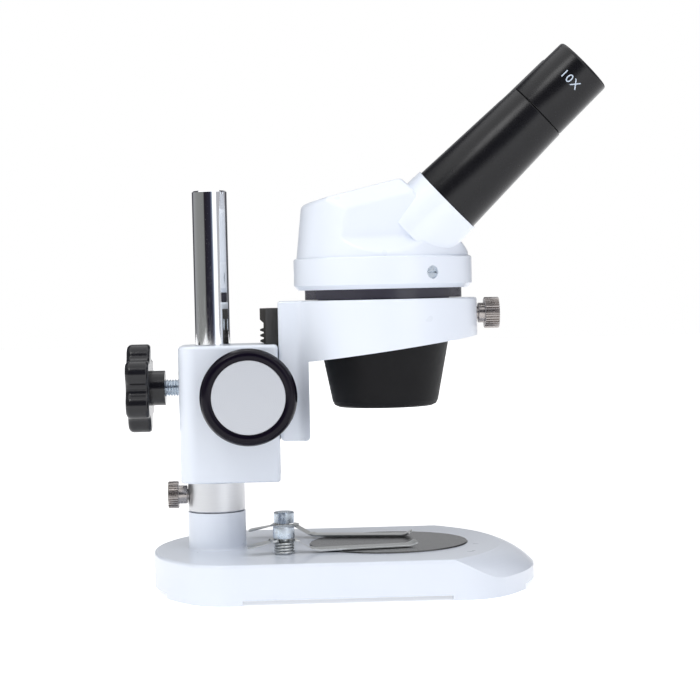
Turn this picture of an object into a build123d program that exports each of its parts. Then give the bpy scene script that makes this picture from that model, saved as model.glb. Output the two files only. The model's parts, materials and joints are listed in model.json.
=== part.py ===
from build123d import *
import os
from math import atan, cos, degrees, pi, radians, sin, sqrt, tan

# A student stereo microscope on a pillar stand, in millimetres.
# +X points from the pillar to the user, +Z is up, and the XZ plane is the plane of symmetry.
# The origin is on the table, under the middle of the whole object. "left" and "right" are the user's.

os.makedirs("parts", exist_ok=True)

# ---- driving dimensions ----------------------------------------------------------------------

RUN = 0.05  # radial clearance of a running fit
GAP = 0.3  # air between neighbours that move past each other
SIDES = {"left": -1, "right": 1}

# stand
BASE_REAR, BASE_FRONT = -98.35, 75.85
BASE_HALF_WIDTH = 61
BASE_END_RADIUS = 83
BASE_CORNER_RADIUS = 24
BASE_WALL = 4
FOOT_HEIGHT = 2.2
DECK_Z = 17.7
BOSS_RADIUS, BOSS_TOP = 13.2, 34.6
PILLAR_X, PILLAR_RADIUS, PILLAR_TOP = -69.3, 8, 181.5
PILLAR_SOCKET_Z = 13
UNDERSIDE_Z = 7.2  # underside of the thick places inside the hollow base
BOLT_RADIUS, BOLT_HEAD_RADIUS, BOLT_HEAD_Z, BOLT_HEAD_HEIGHT = 4, 7.5, 1.4, 4.6

# optical axis, stage and clips
OPTIC_X = 9.45
STAGE_RADIUS, STAGE_TOP = 36.5, 18.3
STAGE_THICKNESS, STAGE_LEDGE = 4.6, 5
POST_X, POST_Y = -38.7, 28
POST_RADIUS, CAP_RADIUS, CAP_HEIGHT = 2.4, 4.8, 5.4
POST_TOP, POST_FOOT_Z, POST_SEAT_RADIUS = 30.2, 9, 5
SPRING_RADIUS, SPRING_WIRE, SPRING_TURNS = 4.0, 1.1, 3.5
CLIP_TAIL, CLIP_KNEE, CLIP_REACH = 17, 14, 61
CLIP_THICKNESS, CLIP_WIDTH, CLIP_TOE_IN = 0.8, 9, 10
CLIP_POST_Z = 23.7  # underside of a clip at its post

# safety collar
COLLAR_RADIUS, COLLAR_BOTTOM, COLLAR_TOP = 13, 34.9, 48.7
COLLAR_SCREW_Z, COLLAR_SCREW_RADIUS = 42.5, 2.5
COLLAR_SCREW_END, COLLAR_SCREW_FRONT, COLLAR_SCREW_NECK = -91.35, -86.55, -82.6
COLLAR_SCREW_HEAD_RADIUS, COLLAR_SCREW_NECK_RADIUS = 6.2, 4.2

# focus body
BODY_REAR, BODY_FRONT = -84.85, -39.5
BODY_HALF_WIDTH, BODY_BOTTOM, BODY_TOP = 20, 49, 111
CLAMP_Z, STUD_RADIUS = 91.8, 3.95
STAR_RADIUS, STAR_LOBES = 20.2, 6
STAR_LOBE_RADIUS, STAR_CORE_RADIUS, STAR_VALLEY_RADIUS, STAR_HUB_RADIUS = 6.2, 15.6, 3, 8
STAR_REAR, STAR_FRONT, STAR_HUB_END = -108.75, -98.0, -91.45

# focus drive
MODULE, PINION_TEETH = 0.8, 15
PITCH_RADIUS = MODULE * PINION_TEETH / 2
RACK_PITCH = pi * MODULE
SHAFT_X, SHAFT_Z, SHAFT_RADIUS = -52.8, 88.5, 3
BUSH_RADIUS = 7
KNOB_RADIUS, KNOB_INNER_Y, KNOB_OUTER_Y = 21.6, 21.2, 41.6
KNOB_BACK_RADIUS, KNOB_SHOULDER_RADIUS, KNOB_RIM_RADIUS = 17.5, 19.6, 18.4
DISC_RADIUS, DISC_THICKNESS, DISC_SINK = 16.5, 1.5, 0.4
PINION_HALF_WIDTH, RACK_WIDTH = 5, 8

# carriage
ARM_REAR, BLOCK_FRONT, ARM_BOTTOM, ARM_TOP = -39.15, -25.75, 67.3, 130.3
ARM_HALF_WIDTH = 19
RING_RADIUS, RING_BORE = 42.9, 30.25
UNDERSIDE_REAR_Z, UNDERSIDE_FRONT_Z = 103, 113.2
SLIDE_REAR, SLIDE_TOP = -44.8, 127.3
SLIDE_HALF_WIDTH, DOVETAIL_ANGLE = 9, 29.5
RACK_TIP = SHAFT_X + PITCH_RADIUS - 0.65
LOCK_SCREW_Z, LOCK_SCREW_RADIUS = 123, 3
LOCK_SCREW_TIP, LOCK_SCREW_NECK, LOCK_SCREW_FRONT, LOCK_SCREW_END = 38.45, 52.95, 55.85, 62.55
LOCK_SCREW_HEAD_RADIUS, LOCK_SCREW_NECK_RADIUS = 7.15, 4.6

# head
FLANGE_RADIUS, FLANGE_BOTTOM, FLANGE_TOP = 36, ARM_TOP + GAP, 135
NECK_RADIUS, NECK_BORE, NECK_BOTTOM = RING_BORE - RUN, 27, 117
BAND_RADIUS, BAND_TOP = 40.9, 149.5
CONE_FOOT_RADIUS, CONE_TOP_RADIUS, CONE_TOP = 39.5, 35.3, 188
FLAT_HALF_WIDTH, FLAT_BOTTOM = 33, 158
ROOF_REAR_X, ROOF_REAR_Z, ROOF_SLOPE = -27.45, 173.9, 13.2
ROOF_HALF_WIDTH, ROOF_BEVEL_DROP = 25, 7.5
HEAD_WALL, HEAD_EDGE_RADIUS = 3, 3
HEAD_SCREW_Z, HEAD_SCREW_RADIUS, HEAD_SCREW_SINK = 141.9, 2.9, 0.8
HEAD_SCREW_AZIMUTHS = (-60, 60, 180)

# eyepiece tubes: the seam between socket and tube, and the tilt of the tube
TUBE_TILT = 43.5
HALF_CONVERGENCE = 6.6
SEAM_X, SEAM_Y, SEAM_Z = 38.25, 20.2, 174.3
SOCKET_RADIUS, SOCKET_LENGTH, SOCKET_ROOT = 17.7, 8.2, 14
TUBE_FOOT_RADIUS, TUBE_TOP_RADIUS, TUBE_LENGTH = 16.7, 14.5, 55.9
EYEPIECE_FOOT_RADIUS, EYEPIECE_TOP_RADIUS, EYEPIECE_END = 14.3, 13.9, 85.6
BARREL_RADIUS, BARREL_BORE, BARREL_FOOT = 11.6, 10, 34
EYE_LENS_RADIUS = 10.6
SPIGOT_RADIUS, SPIGOT_LENGTH, LIGHT_RADIUS = 15, 8, 10

# objectives
COVER_BOTTOM, COVER_SHOULDER, COVER_TOP_RADIUS = 81.3, 111.5, 29.7
COVER_BOTTOM_RADIUS = 24.1
OBJECTIVE_RADIUS, OBJECTIVE_BOTTOM, OBJECTIVE_TOP = 7, 84.2, 125
LENS_RADIUS = 5.6
PRISM_Y, PRISM_Z = 15.2, 147
OBJECTIVE_TILT = degrees(atan(PRISM_Y / (PRISM_Z - STAGE_TOP)))  # both axes meet on the stage


def along_x(x, z, y=0):
    """A plane across the X axis at x, with its local x along Y and its local y up."""
    return Plane(origin=(x, y, z), x_dir=(0, 1, 0), z_dir=(1, 0, 0))


def across_y(y):
    """The XZ plane moved to y, with its normal towards +Y, local x along X and local y down."""
    return Plane(origin=(0, y, 0), x_dir=(1, 0, 0), z_dir=(0, 1, 0))


def side_view(z=0):
    """The XZ plane raised to z, with local x along X and local y up."""
    return Plane(origin=(0, 0, z), x_dir=(1, 0, 0), z_dir=(0, -1, 0))


# ---- stand -----------------------------------------------------------------------------------


def base_outline(inset, front_inset):
    """The base's plan: straight sides, shallow arcs for ends, rounded corners."""
    rear, front = BASE_REAR + inset, BASE_FRONT - front_inset
    half = BASE_HALF_WIDTH - inset
    bow = BASE_END_RADIUS - sqrt(BASE_END_RADIUS**2 - half**2)
    with BuildSketch() as outline:
        with BuildLine():
            Line((rear + bow, -half), (front - bow, -half))
            ThreePointArc((front - bow, -half), (front, 0), (front - bow, half))
            Line((front - bow, half), (rear + bow, half))
            ThreePointArc((rear + bow, half), (rear, 0), (rear + bow, -half))
        make_face()
        fillet(outline.vertices(), BASE_CORNER_RADIUS - inset)
    return outline.sketch


FOOT_CUT_X = (-57, 34)  # the plain stretch of wall between the feet
FOOT_CUT_HALF_Y = 34
NOSE_CUT = 60  # the width of the block that cuts the nose
NOSE_REAR, NOSE_RADIUS, NOSE_SLOPES = 60.6, 32.62, range(16, 49, 4)
STAGE_FLOOR = STAGE_TOP - STAGE_THICKNESS

outer_plan = base_outline(0, 0)
inner_plan = base_outline(BASE_WALL, BASE_FRONT - NOSE_REAR + BASE_WALL)
nose_sines = [sin(radians(slope)) - sin(radians(NOSE_SLOPES[0])) for slope in NOSE_SLOPES]
nose_falls = [cos(radians(NOSE_SLOPES[0])) - cos(radians(slope)) for slope in NOSE_SLOPES]
nose = [
    (NOSE_REAR + NOSE_RADIUS * sine, DECK_Z - NOSE_RADIUS * fall)
    for sine, fall in zip(nose_sines, nose_falls)
]

with BuildPart() as base_casting:
    extrude(outer_plan, amount=DECK_Z)
    # the boss that holds the pillar
    with BuildSketch(Plane.XY.offset(DECK_Z - 1)):
        with Locations((PILLAR_X, 0)):
            Circle(BOSS_RADIUS)
    extrude(amount=BOSS_TOP - DECK_Z + 1)
    # the sloping nose: the front arc drawn back along each slope of the nose in turn
    for (upper_x, upper_z), (lower_x, lower_z) in zip(nose, nose[1:]):
        with BuildSketch(Plane.XY.offset(lower_z)):
            with Locations((lower_x, 0)):
                Rectangle(NOSE_CUT, 3 * BASE_HALF_WIDTH)
            with Locations((lower_x - BASE_END_RADIUS, 0)):
                Circle(BASE_END_RADIUS, mode=Mode.SUBTRACT)
        run, rise = upper_x - lower_x, upper_z - lower_z
        extrude(amount=sqrt(run**2 + rise**2), dir=(run, 0, rise), mode=Mode.SUBTRACT)
    # the walls stop short of the table, except at the four corner feet
    with BuildSketch():
        with Locations(((FOOT_CUT_X[0] + FOOT_CUT_X[1]) / 2, 0)):
            Rectangle(FOOT_CUT_X[1] - FOOT_CUT_X[0], 3 * BASE_HALF_WIDTH)
        Rectangle(3 * BASE_FRONT, 2 * FOOT_CUT_HALF_Y)
    extrude(amount=FOOT_HEIGHT, mode=Mode.SUBTRACT)
    # hollow underside
    extrude(inner_plan, amount=DECK_Z - BASE_WALL, mode=Mode.SUBTRACT)
    # material round the stage recess, the boss and the clip posts
    with BuildSketch(Plane.XY.offset(UNDERSIDE_Z)):
        with Locations((OPTIC_X, 0)):
            Circle(STAGE_RADIUS + BASE_WALL)
        with Locations((PILLAR_X, 0)):
            Circle(BOSS_RADIUS)
        with Locations((POST_X, POST_Y), (POST_X, -POST_Y)):
            Circle(POST_SEAT_RADIUS)
    extrude(amount=DECK_Z - BASE_WALL - UNDERSIDE_Z + 1)
    # stage recess, with a finger hole to push the plate out
    with BuildSketch(Plane.XY.offset(STAGE_FLOOR)):
        with Locations((OPTIC_X, 0)):
            Circle(STAGE_RADIUS + RUN)
    extrude(amount=DECK_Z, mode=Mode.SUBTRACT)
    with Locations((OPTIC_X, 0, STAGE_FLOOR)):
        Hole(STAGE_RADIUS - STAGE_LEDGE, STAGE_FLOOR)
    # sockets for the pillar, its bolt and the clip posts
    with BuildSketch(Plane.XY.offset(PILLAR_SOCKET_Z)):
        with Locations((PILLAR_X, 0)):
            Circle(PILLAR_RADIUS)
    extrude(amount=BOSS_TOP, mode=Mode.SUBTRACT)
    with Locations((PILLAR_X, 0, DECK_Z)):
        Hole(BOLT_RADIUS + 0.2, DECK_Z)
    with Locations((POST_X, POST_Y, DECK_Z), (POST_X, -POST_Y, DECK_Z)):
        Hole(POST_RADIUS, DECK_Z - UNDERSIDE_Z + 1)
    # softened rim of the deck, and the fillet at the foot of the boss
    deck_edges = [e for e in base_casting.edges() if abs(e.center().Z - DECK_Z) < 0.01]
    sides = [e for e in deck_edges if abs(e.center().Y) > BASE_HALF_WIDTH - 8]
    fillet(sides + [e for e in deck_edges if e.center().X < BASE_REAR + 5], 1.4)
    deck_edges = [e for e in base_casting.edges() if abs(e.center().Z - DECK_Z) < 0.01]
    fillet([e for e in deck_edges if abs(e.center().X - PILLAR_X) < BOSS_RADIUS + 0.1], 1.2)
base_casting.part.label = "base_casting"
export_step(base_casting.part, "parts/base_casting.step")

with BuildPart() as pillar:
    with BuildSketch(Plane.XY.offset(PILLAR_SOCKET_Z)):
        with Locations((PILLAR_X, 0)):
            Circle(PILLAR_RADIUS)
    extrude(amount=PILLAR_TOP - PILLAR_SOCKET_Z)
    chamfer(pillar.edges().group_by(Axis.Z)[-1], 0.6)
    with Locations((PILLAR_X, 0, PILLAR_SOCKET_Z)):
        Hole(BOLT_RADIUS, 40)
pillar.part.label = "pillar"
export_step(pillar.part, "parts/pillar.step")

with BuildPart() as pillar_bolt:
    with BuildSketch(Plane.XY.offset(BOLT_HEAD_Z)):
        with Locations((PILLAR_X, 0)):
            RegularPolygon(BOLT_HEAD_RADIUS, 6)
    extrude(amount=BOLT_HEAD_HEIGHT)
    with Locations((PILLAR_X, 0, BOLT_HEAD_Z + BOLT_HEAD_HEIGHT)):
        Cylinder(BOLT_RADIUS, 26, align=(Align.CENTER, Align.CENTER, Align.MIN))
pillar_bolt.part.label = "pillar_bolt"
export_step(pillar_bolt.part, "parts/pillar_bolt.step")

with BuildPart() as pillar_washer:
    with BuildSketch(Plane.XY.offset(BOLT_HEAD_Z + BOLT_HEAD_HEIGHT)):
        with Locations((PILLAR_X, 0)):
            Circle(BOLT_HEAD_RADIUS + 1.5)
            Circle(BOLT_RADIUS + RUN, mode=Mode.SUBTRACT)
    extrude(amount=UNDERSIDE_Z - BOLT_HEAD_Z - BOLT_HEAD_HEIGHT)
pillar_washer.part.label = "pillar_washer"
export_step(pillar_washer.part, "parts/pillar_washer.step")

with BuildPart() as stage_plate:
    with BuildSketch(Plane.XY.offset(STAGE_FLOOR)):
        with Locations((OPTIC_X, 0)):
            Circle(STAGE_RADIUS)
    extrude(amount=STAGE_THICKNESS)
    chamfer(stage_plate.edges().group_by(Axis.Z)[-1], 0.4)
stage_plate.part.label = "stage_plate"
export_step(stage_plate.part, "parts/stage_plate.step")

# ---- stage clips -----------------------------------------------------------------------------

with BuildPart() as clip_posts:
    with Locations((POST_X, POST_Y, 0), (POST_X, -POST_Y, 0)):
        with Locations((0, 0, POST_TOP - CAP_HEIGHT)):
            Cylinder(CAP_RADIUS, CAP_HEIGHT, align=(Align.CENTER, Align.CENTER, Align.MIN))
        with Locations((0, 0, POST_FOOT_Z)):
            Cylinder(
                POST_RADIUS,
                POST_TOP - CAP_HEIGHT - POST_FOOT_Z,
                align=(Align.CENTER, Align.CENTER, Align.MIN),
            )
    chamfer(clip_posts.edges().group_by(Axis.Z)[-1], 0.5)
clip_posts.part.label = "clip_posts"
export_step(clip_posts.part, "parts/clip_posts.step")

for side_name, side in SIDES.items():
    # a coil spring round the post, under the clip
    spring_height = CLIP_POST_Z - GAP - DECK_Z - SPRING_WIRE
    with BuildPart() as clip_spring:
        with BuildLine(Plane.XY.offset(DECK_Z + SPRING_WIRE / 2)) as coil:
            coil_foot = (POST_X, side * POST_Y, 0)
            Helix(spring_height / SPRING_TURNS, spring_height, SPRING_RADIUS, center=coil_foot)
        wire_start = coil.line @ 0
        with BuildSketch(Plane(origin=wire_start, z_dir=coil.line % 0)):
            Circle(SPRING_WIRE / 2)
        sweep(path=coil.line, is_frenet=True)
    clip_spring.part.label = f"clip_spring_{side_name}"
    export_step(clip_spring.part, f"parts/clip_spring_{side_name}.step")

    # a bent spring-steel strip, toed in towards the middle of the stage
    toe = radians(CLIP_TOE_IN)
    forward = Vector(cos(toe), -side * sin(toe), 0)
    sideways = forward.cross(Vector(0, 0, 1))
    clip_plane = Plane(origin=(POST_X, side * POST_Y, 0), x_dir=forward, z_dir=sideways)
    tip_z = STAGE_TOP + GAP
    with BuildPart() as stage_clip:
        with BuildSketch(clip_plane):
            with BuildLine():
                Polyline(
                    (-CLIP_TAIL, CLIP_POST_Z - 2),
                    (-CAP_RADIUS, CLIP_POST_Z),
                    (CAP_RADIUS + 0.5, CLIP_POST_Z),
                    (CLIP_KNEE, tip_z),
                    (CLIP_REACH - 3, tip_z),
                    (CLIP_REACH, tip_z + 1.6),
                )
                offset(amount=CLIP_THICKNESS, side=Side.LEFT)
            make_face()
        extrude(amount=CLIP_WIDTH / 2, both=True)
        with Locations((POST_X, side * POST_Y, CLIP_POST_Z)):
            Hole(POST_RADIUS + RUN, 5)
    stage_clip.part.label = f"stage_clip_{side_name}"
    export_step(stage_clip.part, f"parts/stage_clip_{side_name}.step")

# ---- safety collar ---------------------------------------------------------------------------

with BuildPart() as collar:
    with BuildSketch(Plane.XY.offset(COLLAR_BOTTOM)):
        with Locations((PILLAR_X, 0)):
            Circle(COLLAR_RADIUS)
            Circle(PILLAR_RADIUS + RUN, mode=Mode.SUBTRACT)
    extrude(amount=COLLAR_TOP - COLLAR_BOTTOM)
    outer_edges = [e for e in collar.edges().filter_by(GeomType.CIRCLE) if e.radius > COLLAR_RADIUS - 1]
    chamfer(outer_edges, 0.5)
    with BuildSketch(along_x(PILLAR_X - COLLAR_RADIUS - 1, COLLAR_SCREW_Z)):
        Circle(COLLAR_SCREW_RADIUS + RUN)
    extrude(amount=COLLAR_RADIUS - PILLAR_RADIUS + 2, mode=Mode.SUBTRACT)
collar.part.label = "collar"
export_step(collar.part, "parts/collar.step")


def thumbscrew_profile(z, head_end, head_front, neck_end, tip, head_radius, neck_radius, screw_radius):
    """Half of a thumbscrew's outline above height z: head, tapered neck, shank and pointed tip."""
    toward = 1 if tip > head_end else -1
    with BuildSketch(side_view(z)) as profile:
        with BuildLine():
            Polyline(
                (head_end, 0),
                (head_end, head_radius - 0.8),
                (head_end + 0.8 * toward, head_radius),
                (head_front, head_radius),
                (head_front + 1.2 * toward, neck_radius),
                (neck_end, neck_radius),
                (neck_end, screw_radius),
                (tip - 1.2 * toward, screw_radius),
                (tip, screw_radius - 1.2),
                (tip, 0),
                (head_end, 0),
            )
        make_face()
    return profile.sketch


collar_screw_profile = thumbscrew_profile(
    COLLAR_SCREW_Z,
    COLLAR_SCREW_END,
    COLLAR_SCREW_FRONT,
    COLLAR_SCREW_NECK,
    PILLAR_X - PILLAR_RADIUS - GAP,
    COLLAR_SCREW_HEAD_RADIUS,
    COLLAR_SCREW_NECK_RADIUS,
    COLLAR_SCREW_RADIUS,
)
with BuildPart() as collar_screw:
    add(collar_screw_profile)
    revolve(axis=Axis((0, 0, COLLAR_SCREW_Z), (1, 0, 0)))
collar_screw.part.label = "collar_screw"
export_step(collar_screw.part, "parts/collar_screw.step")

# ---- focus body and its clamp ----------------------------------------------------------------

slide_flare = tan(radians(DOVETAIL_ANGLE))


def dovetail(front, rear, clearance):
    """Half-widths at the front and rear of the dovetail, wider towards the pillar."""
    return [SLIDE_HALF_WIDTH + (ARM_REAR - x) * slide_flare + clearance for x in (front, rear)]


groove_front, groove_rear = dovetail(BODY_FRONT, SLIDE_REAR - 0.2, 0.1)
body_middle = (BODY_REAR + BODY_FRONT) / 2

with BuildPart() as focus_body:
    with BuildSketch(Plane.XY.offset(BODY_BOTTOM)) as body_plan:
        with Locations((body_middle, 0)):
            Rectangle(BODY_FRONT - BODY_REAR, 2 * BODY_HALF_WIDTH)
        fillet(body_plan.vertices().group_by(Axis.X)[0], 8)
        fillet(body_plan.vertices().group_by(Axis.X)[-1], 2)
    extrude(amount=BODY_TOP - BODY_BOTTOM)
    fillet(focus_body.edges().group_by(Axis.Z)[-1], 1.8)
    fillet(focus_body.edges().group_by(Axis.Z)[0], 1.2)
    # the pillar's bore
    with Locations((PILLAR_X, 0, BODY_TOP)):
        Hole(PILLAR_RADIUS + RUN, BODY_TOP - BODY_BOTTOM)
    # the cross bore for the shaft and its bushes
    with BuildSketch(across_y(-BODY_HALF_WIDTH)):
        with Locations((SHAFT_X, -SHAFT_Z)):
            Circle(BUSH_RADIUS)
    extrude(amount=2 * BODY_HALF_WIDTH, mode=Mode.SUBTRACT)
    # the dovetail groove, and a deeper channel for the rack
    with BuildSketch(Plane.XY.offset(BODY_BOTTOM)):
        with BuildLine():
            Polyline(
                (BODY_FRONT + 1, groove_front),
                (BODY_FRONT, groove_front),
                (SLIDE_REAR - 0.2, groove_rear),
                (SLIDE_REAR - 0.2, -groove_rear),
                (BODY_FRONT, -groove_front),
                (BODY_FRONT + 1, -groove_front),
                close=True,
            )
        make_face()
        with Locations(((RACK_TIP - GAP + BODY_FRONT) / 2, 0)):
            Rectangle(BODY_FRONT - RACK_TIP + GAP, RACK_WIDTH + 2 * GAP)
    extrude(amount=BODY_TOP - BODY_BOTTOM, mode=Mode.SUBTRACT)
    # the clamp screw's hole
    with BuildSketch(along_x(BODY_REAR - 1, CLAMP_Z)):
        Circle(STUD_RADIUS + RUN)
    extrude(amount=PILLAR_X - BODY_REAR, mode=Mode.SUBTRACT)
focus_body.part.label = "focus_body"
export_step(focus_body.part, "parts/focus_body.step")

PAD_FRONT = PILLAR_X - PILLAR_RADIUS - 0.25
PAD_REAR = PAD_FRONT - 2.5

with BuildPart() as clamp_pad:
    with BuildSketch(along_x(PAD_REAR, CLAMP_Z)):
        Circle(STUD_RADIUS)
    extrude(amount=PAD_FRONT - PAD_REAR)
clamp_pad.part.label = "clamp_pad"
export_step(clamp_pad.part, "parts/clamp_pad.step")

with BuildPart() as clamp_stud:
    with BuildSketch(along_x(STAR_REAR + 3, CLAMP_Z)):
        Circle(STUD_RADIUS)
    extrude(amount=PAD_REAR - GAP - STAR_REAR - 3)
    chamfer(clamp_stud.edges().group_by(Axis.X)[-1], 0.8)
clamp_stud.part.label = "clamp_stud"
export_step(clamp_stud.part, "parts/clamp_stud.step")

with BuildPart() as star_knob:
    with BuildSketch(along_x(STAR_REAR, CLAMP_Z)) as star_plan:
        Circle(STAR_CORE_RADIUS)
        with PolarLocations(STAR_RADIUS - STAR_LOBE_RADIUS, STAR_LOBES, start_angle=90):
            Circle(STAR_LOBE_RADIUS)
        fillet(star_plan.vertices(), STAR_VALLEY_RADIUS)
    extrude(amount=STAR_FRONT - STAR_REAR)
    fillet(star_knob.edges().group_by(Axis.X)[0], 2.5)
    fillet(star_knob.edges().group_by(Axis.X)[-1], 1.5)
    with BuildSketch(along_x(STAR_FRONT - 1, CLAMP_Z)):
        Circle(STAR_HUB_RADIUS)
    extrude(amount=STAR_HUB_END - STAR_FRONT + 1)
    with BuildSketch(along_x(STAR_REAR + 3, CLAMP_Z)):
        Circle(STUD_RADIUS)
    extrude(amount=STAR_HUB_END - STAR_REAR, mode=Mode.SUBTRACT)
star_knob.part.label = "star_knob"
export_step(star_knob.part, "parts/star_knob.step")

# ---- focus shaft -----------------------------------------------------------------------------

PRESSURE_ANGLE = radians(20)
BASE_CIRCLE = PITCH_RADIUS * cos(PRESSURE_ANGLE)
PINION_TIP_RADIUS = PITCH_RADIUS + 0.75
PINION_ROOT_RADIUS = PITCH_RADIUS - 0.95
BACKLASH = 0.12  # taken off each tooth's thickness at the pitch line


def flank_angle(radius):
    """Half the angle that a tooth fills at a radius, for an involute flank."""
    if radius <= BASE_CIRCLE:
        radius = BASE_CIRCLE
    pressure = sqrt((radius / BASE_CIRCLE) ** 2 - 1)
    here = pressure - atan(pressure)
    at_pitch = tan(PRESSURE_ANGLE) - PRESSURE_ANGLE
    half_at_pitch = (RACK_PITCH / 2 - BACKLASH) / (2 * PITCH_RADIUS)
    return half_at_pitch + at_pitch - here


def pinion_outline():
    """The pinion's outline about its centre, one tooth pointing along +X."""
    radii = (PINION_ROOT_RADIUS, BASE_CIRCLE, PITCH_RADIUS, PITCH_RADIUS + 0.4, PINION_TIP_RADIUS)
    points = []
    for tooth in range(PINION_TEETH):
        middle = 2 * pi * tooth / PINION_TEETH
        rising = [(r, middle - flank_angle(r)) for r in radii]
        falling = [(r, middle + flank_angle(r)) for r in reversed(radii)]
        points += [(r * cos(a), r * sin(a)) for r, a in rising + falling]
    return points


with BuildPart() as pinion_shaft:
    with BuildSketch(across_y(-KNOB_OUTER_Y + 6)):
        with Locations((SHAFT_X, -SHAFT_Z)):
            Circle(SHAFT_RADIUS)
    extrude(amount=2 * KNOB_OUTER_Y - 12)
    with BuildSketch(across_y(-PINION_HALF_WIDTH)):
        with BuildLine():
            Polyline(*[(SHAFT_X + x, y - SHAFT_Z) for x, y in pinion_outline()], close=True)
        make_face()
    extrude(amount=2 * PINION_HALF_WIDTH)
pinion_shaft.part.label = "pinion_shaft"
export_step(pinion_shaft.part, "parts/pinion_shaft.step")

with BuildPart() as shaft_bushes:
    for side in SIDES.values():
        with BuildSketch(across_y(side * (BODY_HALF_WIDTH + PINION_HALF_WIDTH + 0.5) / 2)):
            with Locations((SHAFT_X, -SHAFT_Z)):
                Circle(BUSH_RADIUS)
                Circle(SHAFT_RADIUS + RUN, mode=Mode.SUBTRACT)
        extrude(amount=(BODY_HALF_WIDTH - PINION_HALF_WIDTH - 0.5) / 2, both=True)
shaft_bushes.part.label = "shaft_bushes"
export_step(shaft_bushes.part, "parts/shaft_bushes.step")

GRUB_Y, GRUB_RADIUS, GRUB_LENGTH = 26.5, 2, 8
disc_seat_y = KNOB_OUTER_Y - DISC_THICKNESS - DISC_SINK

for side_name, side in SIDES.items():
    with BuildPart() as focus_knob:
        with BuildSketch(Plane.YZ.offset(SHAFT_X)):
            with BuildLine():
                Polyline(
                    (side * KNOB_INNER_Y, SHAFT_Z + SHAFT_RADIUS),
                    (side * KNOB_INNER_Y, SHAFT_Z + KNOB_BACK_RADIUS),
                    (side * (KNOB_INNER_Y + 1.5), SHAFT_Z + KNOB_SHOULDER_RADIUS),
                    (side * (KNOB_OUTER_Y - 4.6), SHAFT_Z + KNOB_RADIUS),
                    (side * (KNOB_OUTER_Y - 2.6), SHAFT_Z + KNOB_RADIUS),
                    (side * (KNOB_OUTER_Y - 0.6), SHAFT_Z + KNOB_SHOULDER_RADIUS + 0.4),
                    (side * KNOB_OUTER_Y, SHAFT_Z + KNOB_RIM_RADIUS),
                    (side * KNOB_OUTER_Y, SHAFT_Z + DISC_RADIUS),
                    (side * disc_seat_y, SHAFT_Z + DISC_RADIUS),
                    (side * disc_seat_y, SHAFT_Z + SHAFT_RADIUS),
                    close=True,
                )
            make_face()
        revolve(axis=Axis((SHAFT_X, 0, SHAFT_Z), (0, 1, 0)))
        rims = focus_knob.edges().filter_by(GeomType.CIRCLE)
        fillet([e for e in rims if e.radius > KNOB_BACK_RADIUS - 0.1], 1.1)
        with BuildSketch(Plane.XY.offset(SHAFT_Z)):
            with Locations((SHAFT_X, side * GRUB_Y)):
                Circle(GRUB_RADIUS)
        extrude(amount=-KNOB_RADIUS, mode=Mode.SUBTRACT)
    focus_knob.part.label = f"focus_knob_{side_name}"
    export_step(focus_knob.part, f"parts/focus_knob_{side_name}.step")

    with BuildPart() as knob_disc:
        with BuildSketch(across_y(side * disc_seat_y)):
            with Locations((SHAFT_X, -SHAFT_Z)):
                Circle(DISC_RADIUS - 0.1)
        extrude(amount=side * DISC_THICKNESS)
        chamfer(knob_disc.edges().group_by(Axis.Y)[-1 if side > 0 else 0], 0.3)
    knob_disc.part.label = f"knob_disc_{side_name}"
    export_step(knob_disc.part, f"parts/knob_disc_{side_name}.step")

with BuildPart() as knob_grub_screws:
    with BuildSketch(Plane.XY.offset(SHAFT_Z - SHAFT_RADIUS)):
        with Locations((SHAFT_X, GRUB_Y), (SHAFT_X, -GRUB_Y)):
            Circle(GRUB_RADIUS)
    extrude(amount=-GRUB_LENGTH)
    with BuildSketch(Plane.XY.offset(SHAFT_Z - SHAFT_RADIUS - GRUB_LENGTH)):
        with Locations((SHAFT_X, GRUB_Y), (SHAFT_X, -GRUB_Y)):
            RegularPolygon(1.1, 6)
    extrude(amount=2.5, mode=Mode.SUBTRACT)
knob_grub_screws.part.label = "knob_grub_screws"
export_step(knob_grub_screws.part, "parts/knob_grub_screws.step")

# ---- carriage: arm, dovetail slide and rack --------------------------------------------------

SLIDE_SCREW_Z = (76, 97, 120)
SLIDE_SCREW_Y, SLIDE_SCREW_RADIUS, SLIDE_SCREW_HEAD = 7.5, 1.5, 2.9
RACK_REAR = SLIDE_REAR + 1.4
RACK_TEETH_TOP = 119.6
RACK_BOTTOM = 69

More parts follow.
